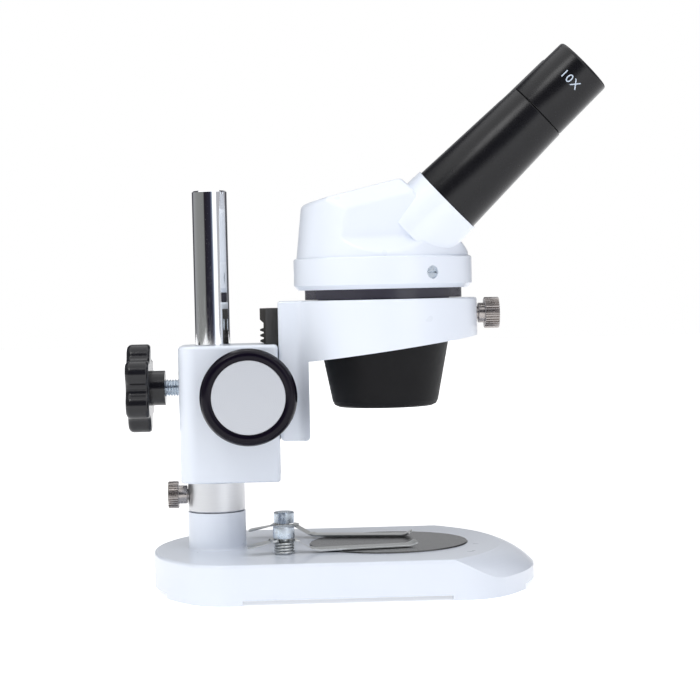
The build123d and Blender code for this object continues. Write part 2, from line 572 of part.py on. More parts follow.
with BuildPart() as arm:
    with BuildSketch(Plane.XY.offset(ARM_BOTTOM)) as arm_plan:
        with Locations((OPTIC_X, 0)):
            Circle(RING_RADIUS)
        with Locations(((ARM_REAR + OPTIC_X) / 2, 0)):
            Rectangle(OPTIC_X - ARM_REAR, 2 * ARM_HALF_WIDTH)
        fillet([v for v in arm_plan.vertices() if BLOCK_FRONT - 8 < v.X < BLOCK_FRONT + 5], 4)
        fillet(arm_plan.vertices().group_by(Axis.X)[0], 2)
    extrude(amount=ARM_TOP - ARM_BOTTOM)
    # the arm seen from the side
    with BuildSketch(side_view()) as arm_side:
        with BuildLine():
            Polyline(
                (ARM_REAR, ARM_BOTTOM),
                (BLOCK_FRONT, ARM_BOTTOM),
                (BLOCK_FRONT, UNDERSIDE_REAR_Z),
                (OPTIC_X + RING_RADIUS, UNDERSIDE_FRONT_Z),
                (OPTIC_X + RING_RADIUS, ARM_TOP),
                (ARM_REAR, ARM_TOP),
                close=True,
            )
        make_face()
        fillet(arm_side.vertices().group_by(Axis.Y)[0], 2.3)
    extrude(amount=60, both=True, mode=Mode.INTERSECT)
    # the bore that carries the head
    with Locations((OPTIC_X, 0, ARM_TOP)):
        Hole(RING_BORE, ARM_TOP - ARM_BOTTOM)
    top_edges = arm.edges().group_by(Axis.Z)[-1]
    fillet([e for e in top_edges if e.geom_type != GeomType.CIRCLE or e.radius != RING_BORE], 1)
    # the lock screw's hole, and the holes of the slide's screws
    with BuildSketch(along_x(OPTIC_X + RING_BORE - 2, LOCK_SCREW_Z)):
        Circle(LOCK_SCREW_RADIUS + RUN)
    extrude(amount=RING_RADIUS, mode=Mode.SUBTRACT)
    for z in SLIDE_SCREW_Z:
        with BuildSketch(along_x(ARM_REAR, z)):
            with Locations((SLIDE_SCREW_Y, 0), (-SLIDE_SCREW_Y, 0)):
                Circle(SLIDE_SCREW_RADIUS)
        extrude(amount=8, mode=Mode.SUBTRACT)
arm.part.label = "arm"
export_step(arm.part, "parts/arm.step")

slide_front, slide_rear = dovetail(ARM_REAR, SLIDE_REAR, 0)

with BuildPart() as slide:
    with BuildSketch(Plane.XY.offset(ARM_BOTTOM + 0.3)):
        with BuildLine():
            Polyline(
                (ARM_REAR, slide_front),
                (SLIDE_REAR, slide_rear),
                (SLIDE_REAR, -slide_rear),
                (ARM_REAR, -slide_front),
                close=True,
            )
        make_face()
    extrude(amount=SLIDE_TOP - ARM_BOTTOM - 0.3)
    # the seat of the rack
    with BuildSketch(Plane.XY.offset(ARM_BOTTOM)):
        with Locations(((SLIDE_REAR + RACK_REAR) / 2, 0)):
            Rectangle(RACK_REAR - SLIDE_REAR, RACK_WIDTH)
    extrude(amount=SLIDE_TOP - ARM_BOTTOM, mode=Mode.SUBTRACT)
    # countersunk holes for the screws into the arm
    for z in SLIDE_SCREW_Z:
        with BuildSketch(along_x(SLIDE_REAR, z)):
            with Locations((SLIDE_SCREW_Y, 0), (-SLIDE_SCREW_Y, 0)):
                Circle(SLIDE_SCREW_RADIUS)
        extrude(amount=ARM_REAR - SLIDE_REAR, mode=Mode.SUBTRACT)
        with BuildSketch(along_x(SLIDE_REAR, z)):
            with Locations((SLIDE_SCREW_Y, 0), (-SLIDE_SCREW_Y, 0)):
                Circle(SLIDE_SCREW_HEAD)
        extrude(amount=SLIDE_SCREW_HEAD - SLIDE_SCREW_RADIUS, taper=45, mode=Mode.SUBTRACT)
slide.part.label = "slide"
export_step(slide.part, "parts/slide.step")

with BuildPart() as slide_screws:
    for z in SLIDE_SCREW_Z:
        with BuildSketch(along_x(SLIDE_REAR + 0.2, z)):
            with Locations((SLIDE_SCREW_Y, 0), (-SLIDE_SCREW_Y, 0)):
                Circle(SLIDE_SCREW_RADIUS)
        extrude(amount=ARM_REAR - SLIDE_REAR + 6)
        with BuildSketch(along_x(SLIDE_REAR + 0.2, z)):
            with Locations((SLIDE_SCREW_Y, 0), (-SLIDE_SCREW_Y, 0)):
                Circle(SLIDE_SCREW_HEAD - 0.2)
        extrude(amount=SLIDE_SCREW_HEAD - SLIDE_SCREW_RADIUS - 0.2, taper=45)
slide_screws.part.label = "slide_screws"
export_step(slide_screws.part, "parts/slide_screws.step")

# trapezoid teeth on the rack; a gap faces the pinion's tooth at the height of the shaft
RACK_ROOT = SHAFT_X + PITCH_RADIUS + 0.95
rack_flare = tan(PRESSURE_ANGLE)
tip_half = RACK_PITCH / 4 - BACKLASH / 2 - 0.65 * rack_flare
root_half = RACK_PITCH / 4 - BACKLASH / 2 + 0.95 * rack_flare
first_tooth = SHAFT_Z + RACK_PITCH / 2
teeth_below = int((first_tooth - RACK_BOTTOM - root_half) / RACK_PITCH)
teeth_above = int((RACK_TEETH_TOP - first_tooth) / RACK_PITCH)

with BuildPart() as rack:
    with BuildSketch(side_view()):
        with BuildLine():
            tooth_points = []
            for tooth in range(-teeth_below, teeth_above + 1):
                z = first_tooth + tooth * RACK_PITCH
                tooth_points += [
                    (RACK_ROOT, z - root_half),
                    (RACK_TIP, z - tip_half),
                    (RACK_TIP, z + tip_half),
                    (RACK_ROOT, z + root_half),
                ]
            Polyline(
                (RACK_REAR, RACK_BOTTOM),
                (RACK_ROOT, RACK_BOTTOM),
                *tooth_points,
                (RACK_ROOT, RACK_TEETH_TOP + 1),
                (RACK_TIP, RACK_TEETH_TOP + 2.6),
                (RACK_TIP, SLIDE_TOP),
                (RACK_REAR, SLIDE_TOP),
                close=True,
            )
        make_face()
    extrude(amount=RACK_WIDTH / 2 - RUN, both=True)
rack.part.label = "rack"
export_step(rack.part, "parts/rack.step")

lock_screw_profile = thumbscrew_profile(
    LOCK_SCREW_Z,
    LOCK_SCREW_END,
    LOCK_SCREW_FRONT,
    LOCK_SCREW_NECK,
    LOCK_SCREW_TIP,
    LOCK_SCREW_HEAD_RADIUS,
    LOCK_SCREW_NECK_RADIUS,
    LOCK_SCREW_RADIUS,
)
with BuildPart() as head_lock_screw:
    add(lock_screw_profile)
    revolve(axis=Axis((0, 0, LOCK_SCREW_Z), (1, 0, 0)))
head_lock_screw.part.label = "head_lock_screw"
export_step(head_lock_screw.part, "parts/head_lock_screw.step")

# ---- head ------------------------------------------------------------------------------------


def ring_section(*points):
    """A closed outline of (radius, height) points, to be turned about the optical axis."""
    with BuildSketch(side_view()) as section:
        with BuildLine():
            Polyline(*[(OPTIC_X + r, z) for r, z in points], close=True)
        make_face()
    return section.sketch


OPTICAL_AXIS = Axis((OPTIC_X, 0, 0), (0, 0, 1))
RIM_RADIUS, RIM_BORE, RIM_TOP = FLANGE_RADIUS - 0.1, 33, 146.5
GROOVE_FLOOR, GROOVE_HALF_WIDTH = 28.6, 3.4



def screw_plane(azimuth, distance):
    """A plane across one of the head's radial screws, facing outwards."""
    outward = Vector(cos(radians(azimuth)), sin(radians(azimuth)), 0)
    return Plane(Vector(OPTIC_X, 0, HEAD_SCREW_Z) + outward * distance, z_dir=outward)


mounting_ring_section = ring_section(
    (NECK_BORE, NECK_BOTTOM),
    (NECK_RADIUS, NECK_BOTTOM),
    (NECK_RADIUS, LOCK_SCREW_Z - GROOVE_HALF_WIDTH),
    (GROOVE_FLOOR, LOCK_SCREW_Z - GROOVE_HALF_WIDTH),
    (GROOVE_FLOOR, LOCK_SCREW_Z + GROOVE_HALF_WIDTH),
    (NECK_RADIUS, LOCK_SCREW_Z + GROOVE_HALF_WIDTH),
    (NECK_RADIUS, FLANGE_BOTTOM),
    (FLANGE_RADIUS, FLANGE_BOTTOM),
    (FLANGE_RADIUS, FLANGE_TOP),
    (RIM_RADIUS, FLANGE_TOP),
    (RIM_RADIUS, RIM_TOP),
    (RIM_BORE, RIM_TOP),
    (RIM_BORE, FLANGE_TOP),
    (NECK_BORE, FLANGE_TOP),
)
with BuildPart() as mounting_ring:
    add(mounting_ring_section)
    revolve(axis=OPTICAL_AXIS)
    for azimuth in HEAD_SCREW_AZIMUTHS:
        with BuildSketch(screw_plane(azimuth, 0)):
            Circle(HEAD_SCREW_RADIUS)
        extrude(amount=RIM_RADIUS + 2, mode=Mode.SUBTRACT)
mounting_ring.part.label = "mounting_ring"
export_step(mounting_ring.part, "parts/mounting_ring.step")

with BuildPart() as head_screws:
    for azimuth in HEAD_SCREW_AZIMUTHS:
        with BuildSketch(screw_plane(azimuth, BAND_RADIUS - HEAD_SCREW_SINK)):
            Circle(HEAD_SCREW_RADIUS)
        extrude(amount=-6.5)
        with BuildSketch(screw_plane(azimuth, BAND_RADIUS - HEAD_SCREW_SINK)):
            Rectangle(2 * HEAD_SCREW_RADIUS + 1, 0.8)
        extrude(amount=-1.2, mode=Mode.SUBTRACT)
head_screws.part.label = "head_screws"
export_step(head_screws.part, "parts/head_screws.step")

tube_axes = {}
for side_name, side in SIDES.items():
    tilt, spread = radians(TUBE_TILT), radians(HALF_CONVERGENCE)
    direction = Vector(cos(spread) * cos(tilt), side * sin(spread), cos(spread) * sin(tilt))
    seam = (SEAM_X, side * SEAM_Y, SEAM_Z)
    tube_axes[side_name] = Plane(origin=seam, x_dir=direction.cross(Vector(0, 0, 1)), z_dir=direction)


def upper_housing(wall):
    """The head above its band, a tapered drum with flats, a sloping roof and a sloping front.

    With a wall it is the space inside the shell, and with none it is the outside."""
    slope = radians(ROOF_SLOPE)
    foot_z = FLANGE_TOP if wall else BAND_TOP - 1
    drum = ring_section(
        (0, foot_z),
        (CONE_FOOT_RADIUS - wall, foot_z),
        (CONE_FOOT_RADIUS - wall, BAND_TOP),
        (CONE_TOP_RADIUS - wall, CONE_TOP),
        (0, CONE_TOP),
    )
    roof_plane = Plane(
        origin=(ROOF_REAR_X + wall * sin(slope), 0, ROOF_REAR_Z - wall * cos(slope)),
        x_dir=(0, 1, 0),
        z_dir=(cos(slope), 0, sin(slope)),
    )
    facing = Vector(cos(radians(TUBE_TILT)), 0, sin(radians(TUBE_TILT)))
    front_plane = Plane(
        origin=Vector(SEAM_X, 0, SEAM_Z) - facing * (SOCKET_LENGTH + wall),
        x_dir=(0, 1, 0),
        z_dir=facing,
    )
    flat, bevel_half = FLAT_HALF_WIDTH - wall, ROOF_HALF_WIDTH - wall / 2
    with BuildPart() as housing:
        add(drum)
        revolve(axis=OPTICAL_AXIS)
        # the roof and its bevels
        with BuildSketch(roof_plane):
            with BuildLine():
                Polyline(
                    (-bevel_half, 0),
                    (bevel_half, 0),
                    (flat, -ROOF_BEVEL_DROP),
                    (flat + 12, -ROOF_BEVEL_DROP - 11),
                    (flat + 12, -90),
                    (-flat - 12, -90),
                    (-flat - 12, -ROOF_BEVEL_DROP - 11),
                    (-flat, -ROOF_BEVEL_DROP),
                    close=True,
                )
            make_face()
        extrude(amount=120, both=True, mode=Mode.INTERSECT)
        # the flats, flaring out to the band
        with BuildSketch(along_x(-60, 0)):
            with BuildLine():
                Polyline(
                    (-flat, 200),
                    (flat, 200),
                    (flat, FLAT_BOTTOM - wall / 2),
                    (BAND_RADIUS, BAND_TOP - wall / 2),
                    (BAND_RADIUS, 120),
                    (-BAND_RADIUS, 120),
                    (-BAND_RADIUS, BAND_TOP - wall / 2),
                    (-flat, FLAT_BOTTOM - wall / 2),
                    close=True,
                )
            make_face()
        extrude(amount=140, mode=Mode.INTERSECT)
        split(bisect_by=front_plane, keep=Keep.BOTTOM)
        if wall == 0:
            soft_edges = [e for e in housing.edges() if e.center().Z > BAND_TOP + 1.5]
            fillet(soft_edges, HEAD_EDGE_RADIUS)
    return housing.part


housing_outside = upper_housing(0)
housing_inside = upper_housing(HEAD_WALL)
band_section = ring_section(
    (FLANGE_RADIUS, FLANGE_TOP),
    (BAND_RADIUS - 2, FLANGE_TOP),
    (BAND_RADIUS, FLANGE_TOP + 2),
    (BAND_RADIUS, BAND_TOP - 0.7),
    (BAND_RADIUS - 0.7, BAND_TOP),
    (FLANGE_RADIUS, BAND_TOP),
)

with BuildPart() as head_shell:
    add(housing_outside)
    add(band_section)
    revolve(axis=OPTICAL_AXIS)
    for tube_plane in tube_axes.values():
        with BuildSketch(tube_plane):
            Circle(SOCKET_RADIUS)
        extrude(amount=-SOCKET_LENGTH - SOCKET_ROOT)
    split(bisect_by=Plane.XY.offset(FLANGE_TOP), keep=Keep.TOP)
    add(housing_inside, mode=Mode.SUBTRACT)
    for tube_plane in tube_axes.values():
        with BuildSketch(tube_plane):
            Circle(SPIGOT_RADIUS)
        extrude(amount=-SPIGOT_LENGTH - 1, mode=Mode.SUBTRACT)
        with BuildSketch(tube_plane):
            Circle(LIGHT_RADIUS)
        extrude(amount=-40, mode=Mode.SUBTRACT)
    for azimuth in HEAD_SCREW_AZIMUTHS:
        with BuildSketch(screw_plane(azimuth, 0)):
            Circle(HEAD_SCREW_RADIUS + RUN)
        extrude(amount=BAND_RADIUS + 5, mode=Mode.SUBTRACT)
head_shell.part.label = "head_shell"
export_step(head_shell.part, "parts/head_shell.step")

FRAME_PLATE_TOP = FLANGE_TOP + 2.5
PRISM_REACH, PRISM_HALF_WIDTH, MIRROR_DROP, CHEEK = 9, 6.5, 12.5, 1.5

with BuildPart() as prism_frame:
    # a plate inside the mounting ring's rim, with a light hole under each prism
    with BuildSketch(Plane.XY.offset(FLANGE_TOP)):
        with Locations((OPTIC_X, 0)):
            Circle(RIM_BORE - 0.1)
        with Locations((OPTIC_X, PRISM_Y - 1.4), (OPTIC_X, 1.4 - PRISM_Y)):
            Circle(7, mode=Mode.SUBTRACT)
    extrude(amount=FRAME_PLATE_TOP - FLANGE_TOP)
    # an upright cheek beside each prism
    for side in SIDES.values():
        with BuildSketch(across_y(side * (PRISM_Y - PRISM_HALF_WIDTH - CHEEK / 2))):
            with Locations((OPTIC_X, -(FRAME_PLATE_TOP + PRISM_Z + PRISM_REACH) / 2)):
                Rectangle(2 * PRISM_REACH, PRISM_Z + PRISM_REACH - FRAME_PLATE_TOP)
        extrude(amount=CHEEK / 2, both=True)
prism_frame.part.label = "prism_frame"
export_step(prism_frame.part, "parts/prism_frame.step")

for side_name, side in SIDES.items():
    # the prism that turns the light from the objective up into the tube
    with BuildPart() as prism:
        with BuildSketch(across_y(side * PRISM_Y)):
            with BuildLine():
                Polyline(
                    (OPTIC_X - PRISM_REACH, -(PRISM_Z - PRISM_REACH)),
                    (OPTIC_X + PRISM_REACH, -(PRISM_Z - PRISM_REACH)),
                    (OPTIC_X + PRISM_REACH, -(PRISM_Z + PRISM_REACH / 2)),
                    (OPTIC_X + PRISM_REACH / 2, -(PRISM_Z + PRISM_REACH)),
                    (OPTIC_X - 0.5, -(PRISM_Z + PRISM_REACH)),
                    (OPTIC_X - PRISM_REACH, -(PRISM_Z + PRISM_REACH - MIRROR_DROP)),
                    close=True,
                )
            make_face()
        extrude(amount=PRISM_HALF_WIDTH, both=True)
    prism.part.label = f"prism_{side_name}"
    export_step(prism.part, f"parts/prism_{side_name}.step")

# ---- objectives ------------------------------------------------------------------------------

MOUNT_BOTTOM, MOUNT_TOP = 122, 125.5


def objective_plane(side, z):
    """A plane across one objective's axis at a height, facing up along the axis."""
    tilt = radians(OBJECTIVE_TILT)
    centre = (OPTIC_X, side * (z - STAGE_TOP) * tan(tilt), z)
    return Plane(origin=centre, x_dir=(1, 0, 0), z_dir=(0, side * sin(tilt), cos(tilt)))


with BuildPart() as objective_mount:
    with BuildSketch(Plane.XY.offset(MOUNT_BOTTOM)):
        with Locations((OPTIC_X, 0)):
            Circle(NECK_BORE - RUN)
    extrude(amount=MOUNT_TOP - MOUNT_BOTTOM)
    for side in SIDES.values():
        with BuildSketch(objective_plane(side, MOUNT_BOTTOM - 5)):
            Circle(OBJECTIVE_RADIUS + RUN)
        extrude(amount=12, mode=Mode.SUBTRACT)
objective_mount.part.label = "objective_mount"
export_step(objective_mount.part, "parts/objective_mount.step")

for side_name, side in SIDES.items():
    barrel_length = (MOUNT_TOP + 2 - OBJECTIVE_BOTTOM) / cos(radians(OBJECTIVE_TILT))
    with BuildPart() as objective_barrel:
        with BuildSketch(objective_plane(side, OBJECTIVE_BOTTOM)):
            Circle(OBJECTIVE_RADIUS)
            Circle(LENS_RADIUS, mode=Mode.SUBTRACT)
        extrude(amount=barrel_length)
        # the collar that rests against the underside of the mount
        with BuildSketch(objective_plane(side, MOUNT_BOTTOM - 4)):
            Circle(OBJECTIVE_RADIUS + 1.5)
            Circle(LENS_RADIUS, mode=Mode.SUBTRACT)
        extrude(amount=2.6)
        # the stop that the lens rests on
        with BuildSketch(objective_plane(side, OBJECTIVE_BOTTOM)):
            Circle(LENS_RADIUS + 0.5)
            Circle(LENS_RADIUS - 0.7, mode=Mode.SUBTRACT)
        extrude(amount=0.8)
    objective_barrel.part.label = f"objective_barrel_{side_name}"
    export_step(objective_barrel.part, f"parts/objective_barrel_{side_name}.step")

    with BuildPart() as objective_lens:
        with BuildSketch(objective_plane(side, OBJECTIVE_BOTTOM + 0.8)):
            Circle(LENS_RADIUS - 0.05)
        extrude(amount=4)
        fillet(objective_lens.edges().group_by(Axis.Z)[-1], 1)
    objective_lens.part.label = f"objective_lens_{side_name}"
    export_step(objective_lens.part, f"parts/objective_lens_{side_name}.step")

cover_section = ring_section(
    (0, COVER_BOTTOM),
    (COVER_BOTTOM_RADIUS - 2.4, COVER_BOTTOM),
    (COVER_BOTTOM_RADIUS - 0.7, COVER_BOTTOM + 0.8),
    (COVER_BOTTOM_RADIUS + 0.2, COVER_BOTTOM + 2.6),
    (COVER_TOP_RADIUS, COVER_SHOULDER),
    (COVER_TOP_RADIUS, NECK_BOTTOM),
    (NECK_BORE - RUN, NECK_BOTTOM),
    (NECK_BORE - RUN, MOUNT_BOTTOM - 0.5),
    (NECK_BORE - 2, MOUNT_BOTTOM - 0.5),
    (NECK_BORE - 2, COVER_SHOULDER),
    (COVER_BOTTOM_RADIUS - 2, COVER_BOTTOM + 2),
    (0, COVER_BOTTOM + 2),
)
with BuildPart() as objective_cover:
    add(cover_section)
    revolve(axis=OPTICAL_AXIS)
    with Locations(*[(OPTIC_X, side * 7.8, COVER_BOTTOM + 2) for side in SIDES.values()]):
        Hole(6.9, 4)
objective_cover.part.label = "objective_cover"
export_step(objective_cover.part, "parts/objective_cover.step")

# ---- eyepiece tubes and eyepieces ------------------------------------------------------------


def turned(plane, *points):
    """A solid turned about a tube's axis from (radius, distance from the seam) points."""
    profile_plane = Plane(origin=plane.origin, x_dir=plane.x_dir, z_dir=plane.x_dir.cross(plane.z_dir))
    with BuildPart() as body:
        with BuildSketch(profile_plane):
            with BuildLine():
                Polyline(*points, close=True)
            make_face()
        revolve(axis=Axis(plane.origin, plane.z_dir))
    return body.part


LENS_SEAT = EYEPIECE_END - 6.5
STOP_SEAT, FIELD_LENS_SEAT = BARREL_FOOT + 14, BARREL_FOOT + 2

for side_name, tube_plane in tube_axes.items():
    tube_solid = turned(
        tube_plane,
        (BARREL_RADIUS + RUN, -SPIGOT_LENGTH),
        (SPIGOT_RADIUS - RUN, -SPIGOT_LENGTH),
        (SPIGOT_RADIUS - RUN, 0),
        (TUBE_FOOT_RADIUS - 0.4, 0),
        (TUBE_FOOT_RADIUS, 0.4),
        (TUBE_TOP_RADIUS, TUBE_LENGTH),
        (BARREL_RADIUS + RUN, TUBE_LENGTH),
    )
    with BuildPart() as eyepiece_tube:
        add(tube_solid)
    eyepiece_tube.part.label = f"eyepiece_tube_{side_name}"
    export_step(eyepiece_tube.part, f"parts/eyepiece_tube_{side_name}.step")

    eyepiece_solid = turned(
        tube_plane,
        (BARREL_BORE, BARREL_FOOT),
        (BARREL_RADIUS, BARREL_FOOT),
        (BARREL_RADIUS, TUBE_LENGTH + GAP),
        (EYEPIECE_FOOT_RADIUS - 0.4, TUBE_LENGTH + GAP),
        (EYEPIECE_FOOT_RADIUS, TUBE_LENGTH + GAP + 0.4),
        (EYEPIECE_TOP_RADIUS, EYEPIECE_END - 1.4),
        (EYEPIECE_TOP_RADIUS - 1.2, EYEPIECE_END),
        (EYE_LENS_RADIUS + 1.5, EYEPIECE_END),
        (EYE_LENS_RADIUS, EYEPIECE_END - 2.2),
        (EYE_LENS_RADIUS, LENS_SEAT),
        (BARREL_BORE, LENS_SEAT),
    )
    with BuildPart() as eyepiece:
        add(eyepiece_solid)
    eyepiece.part.label = f"eyepiece_{side_name}"
    export_step(eyepiece.part, f"parts/eyepiece_{side_name}.step")

    with BuildPart() as eye_lens:
        with BuildSketch(tube_plane.offset(LENS_SEAT)):
            Circle(EYE_LENS_RADIUS - RUN)
        extrude(amount=3.6)
    eye_lens.part.label = f"eye_lens_{side_name}"
    export_step(eye_lens.part, f"parts/eye_lens_{side_name}.step")

    with BuildPart() as field_stop:
        with BuildSketch(tube_plane.offset(STOP_SEAT)):
            Circle(BARREL_BORE)
            Circle(BARREL_BORE - 3, mode=Mode.SUBTRACT)
        extrude(amount=1.2)
    field_stop.part.label = f"field_stop_{side_name}"
    export_step(field_stop.part, f"parts/field_stop_{side_name}.step")

    with BuildPart() as field_lens:
        with BuildSketch(tube_plane.offset(FIELD_LENS_SEAT)):
            Circle(BARREL_BORE - RUN)
        extrude(amount=3.5)
    field_lens.part.label = f"field_lens_{side_name}"
    export_step(field_lens.part, f"parts/field_lens_{side_name}.step")
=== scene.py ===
# %% [markdown]
# # A school stereo microscope
# The object is a small binocular microscope on a round pillar: white enamelled castings,
# a chromed pillar, black eyepiece tubes and a handful of turned metal screws. The packed
# CAD model already holds every part at its true size and place. This lesson gives each
# part its finish, and models again the small parts whose looks depend on fine shape:
# knurled screws, threads, springs, bent clips, knobs and eyepieces.

# %% Load the frame and keep its box
import json
import math

import bmesh
import bpy
from mathutils import Matrix, Vector


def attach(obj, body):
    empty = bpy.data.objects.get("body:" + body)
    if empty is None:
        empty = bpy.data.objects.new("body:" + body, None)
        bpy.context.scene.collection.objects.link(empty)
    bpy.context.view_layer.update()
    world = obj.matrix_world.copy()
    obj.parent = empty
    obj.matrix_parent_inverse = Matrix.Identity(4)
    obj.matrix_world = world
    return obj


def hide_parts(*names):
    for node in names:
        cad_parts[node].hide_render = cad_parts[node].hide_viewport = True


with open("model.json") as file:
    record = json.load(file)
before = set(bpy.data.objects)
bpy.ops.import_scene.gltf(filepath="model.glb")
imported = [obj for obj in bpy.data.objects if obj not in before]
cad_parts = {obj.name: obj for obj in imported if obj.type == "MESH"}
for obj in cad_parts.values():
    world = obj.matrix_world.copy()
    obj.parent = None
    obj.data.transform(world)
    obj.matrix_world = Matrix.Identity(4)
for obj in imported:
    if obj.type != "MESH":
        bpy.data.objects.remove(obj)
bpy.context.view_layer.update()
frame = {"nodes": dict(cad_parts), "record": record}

MM = 0.001
print("parts in the frame:", len(frame["nodes"]))

# %% [markdown]
# ## The camera
# An instrument is best shown from its side and through a long lens, so that upright edges
# stay nearly parallel. A camera can be aimed by a target, but three plain turns are easier
# to read here: turned a little to the right, tipped a little down, and rolled a little, as
# a camera on a tripod that is not quite level would be.

# %% Camera
LENS_MM = 97.7
CAMERA_PLACE = (-0.03475, -0.874, 0.1345)
CAMERA_TURN, CAMERA_TIP, CAMERA_ROLL = math.radians(1.86), math.radians(1.79), math.radians(1.3)

camera_data = bpy.data.cameras.new("side_camera")
camera_data.lens = LENS_MM
camera = bpy.data.objects.new("side_camera", camera_data)
bpy.context.scene.collection.objects.link(camera)
camera.matrix_world = (
    Matrix.Translation(CAMERA_PLACE)
    @ Matrix.Rotation(-CAMERA_TURN, 4, "Z")
    @ Matrix.Rotation(math.pi / 2 - CAMERA_TIP, 4, "X")
    @ Matrix.Rotation(-CAMERA_ROLL, 4, "Z")
)
bpy.context.scene.camera = camera
bpy.context.scene.view_settings.view_transform = "Standard"
print("camera looks along", [round(c, 3) for c in camera.matrix_world.col[2].xyz * -1])

# %% [markdown]
# ## Sums on shader sockets
# A procedural finish is mostly arithmetic on numbers that change over a surface. Wiring
# Math nodes one by one hides the formula, so a small class wraps a socket and lets Python's
# own operators add the nodes. Any other node comes from its one method, `node`.


# %% A class for shader sums
class Signal:
    """The output of a shader node, ready to be used in sums."""

    def __init__(self, tree, socket=None):
        self.tree, self.socket = tree, socket

    def node(self, kind, settings, inputs, output=0):
        """Adds a node: its settings first, then the value or the link of each socket."""
        made = self.tree.nodes.new(kind)
        for name, value in settings.items():
            if name == "stops":
                while len(made.color_ramp.elements) < len(value):
                    made.color_ramp.elements.new(0.5)
                for element, (place, shade) in zip(made.color_ramp.elements, value):
                    element.position, element.color = place, (*shade, 1)
            else:
                setattr(made, name, value)
        for name, value in inputs.items():
            if isinstance(value, Signal):
                self.tree.links.new(value.socket, made.inputs[name])
            else:
                made.inputs[name].default_value = value
        return Signal(self.tree, made.outputs[output])

    def maths(self, operation, *values):
        return self.node("ShaderNodeMath", {"operation": operation}, dict(enumerate(values)))

    def __add__(self, other):
        return self.maths("ADD", self, other)

    def __sub__(self, other):
        return self.maths("SUBTRACT", self, other)

    def __rsub__(self, other):
        return self.maths("SUBTRACT", other, self)

    def __mul__(self, other):
        return self.maths("MULTIPLY", self, other)

    def __truediv__(self, other):
        return self.maths("DIVIDE", self, other)

    __radd__ = __add__
    __rmul__ = __mul__


# %% [markdown]
# ## Building blocks of a finish
# Every finish below is a Principled shader with a base colour that drifts a little, a
# roughness that varies, and a fine relief. The same few patterns serve them all: noise at a
# given grain size, noise drawn out along an axis for turned or brushed metal, and a bump.


# %% Finish helpers
class Finish:
    """A material whose patterns are laid out in the object's own coordinates, in metres."""

    def __init__(self, name, **sockets):
        self.material = bpy.data.materials.new(name)
        self.material.use_nodes = True
        tree = self.material.node_tree
        self.shader = tree.nodes["Principled BSDF"]
        self.sheet = Signal(tree)
        self.place = self.sheet.node("ShaderNodeTexCoord", {}, {}, "Object")
        for socket, value in sockets.items():
            self.shader.inputs[socket.replace("_", " ")].default_value = value

    def grain(self, size_mm, detail=2.0, stretch=(1, 1, 1), turn=(0, 0, 0), centre=(0, 0, 0)):
        """Noise from 0 to 1 with features of about that size, drawn out by stretch."""
        at = self.place
        if turn != (0, 0, 0) or centre != (0, 0, 0):
            moves = {"Vector": at, "Location": centre, "Rotation": turn}
            at = self.sheet.node("ShaderNodeMapping", {"vector_type": "TEXTURE"}, moves)
        if stretch != (1, 1, 1):
            thin = tuple(1 / s for s in stretch)
            at = self.sheet.node("ShaderNodeMapping", {}, {"Vector": at, "Scale": thin})
        sizes = {"Vector": at, "Scale": 1 / (size_mm * MM), "Detail": detail}
        return self.sheet.node("ShaderNodeTexNoise", {}, sizes, "Fac")

    def blend(self, factor, first, second):
        """A colour between two colours."""
        pair = {0: factor, 6: (*first, 1), 7: (*second, 1)}
        return self.sheet.node("ShaderNodeMix", {"data_type": "RGBA"}, pair, 2)

    def sharpen(self, signal, low, high):
        """Stretches the part of a signal between low and high to 0 to 1."""
        limits = {"Value": signal, "From Min": low, "From Max": high}
        return self.sheet.node("ShaderNodeMapRange", {}, limits)

    def relief(self, height, depth_mm, strength=1.0):
        """A bump whose full height is that depth."""
        shape = {"Height": height, "Distance": depth_mm * MM, "Strength": strength}
        return self.sheet.node("ShaderNodeBump", {}, shape, "Normal")

    def set(self, **signals):
        for socket, signal in signals.items():
            self.sheet.tree.links.new(signal.socket, self.shader.inputs[socket.replace("_", " ")])
        print("finish:", self.material.name)
        return self.material


# %% [markdown]
# ## White enamel
# The castings are stoved white enamel with a faint blue cast. It is smooth, with only a trace
# of orange peel, because a deeper one mottles the flat faces. A clear coat over a rougher
# base gives the soft highlight with a sharp core that sprayed enamel has.

# %% White enamel
enamel = Finish("white_enamel", Coat_Weight=0.35, Coat_Roughness=0.06)
white_enamel = enamel.set(
    Base_Color=enamel.blend(enamel.grain(26), (0.765, 0.815, 0.90), (0.795, 0.84, 0.92)),
    Roughness=0.26 + 0.05 * enamel.grain(14),
    Normal=enamel.relief(enamel.grain(2.5, 1.0), 0.001, 0.2),
)

# %% [markdown]
# ## Chrome and turned metal
# The pillar is centreless-ground steel under bright chrome: almost a mirror, with hairline
# scratches along it from the focus body sliding up and down. The collar is aluminium left
# as turned, so its fine grooves run round it. Both are the same noise, drawn out along the
# axis for the scratches or squeezed along it for the grooves.

# %% Chrome, aluminium, nickel
chrome_steel = Finish("chrome_steel", Metallic=1.0)
hairlines = chrome_steel.grain(0.25, 3.0, stretch=(1, 1, 60))
chrome = chrome_steel.set(
    Base_Color=chrome_steel.blend(chrome_steel.grain(18), (0.80, 0.81, 0.82), (0.86, 0.865, 0.88)),
    Roughness=0.035 + 0.10 * chrome_steel.sharpen(hairlines, 0.55, 0.8),
    Normal=chrome_steel.relief(hairlines, 0.004, 0.25),
)

turned_aluminium = Finish("turned_aluminium", Metallic=1.0)
grooves = turned_aluminium.grain(0.12, 2.0, stretch=(60, 60, 1))
satin_aluminium = turned_aluminium.set(
    Base_Color=turned_aluminium.blend(grooves, (0.66, 0.67, 0.69), (0.76, 0.77, 0.79)),
    Roughness=0.30 + 0.14 * grooves,
    Normal=turned_aluminium.relief(grooves, 0.01, 0.35),
)

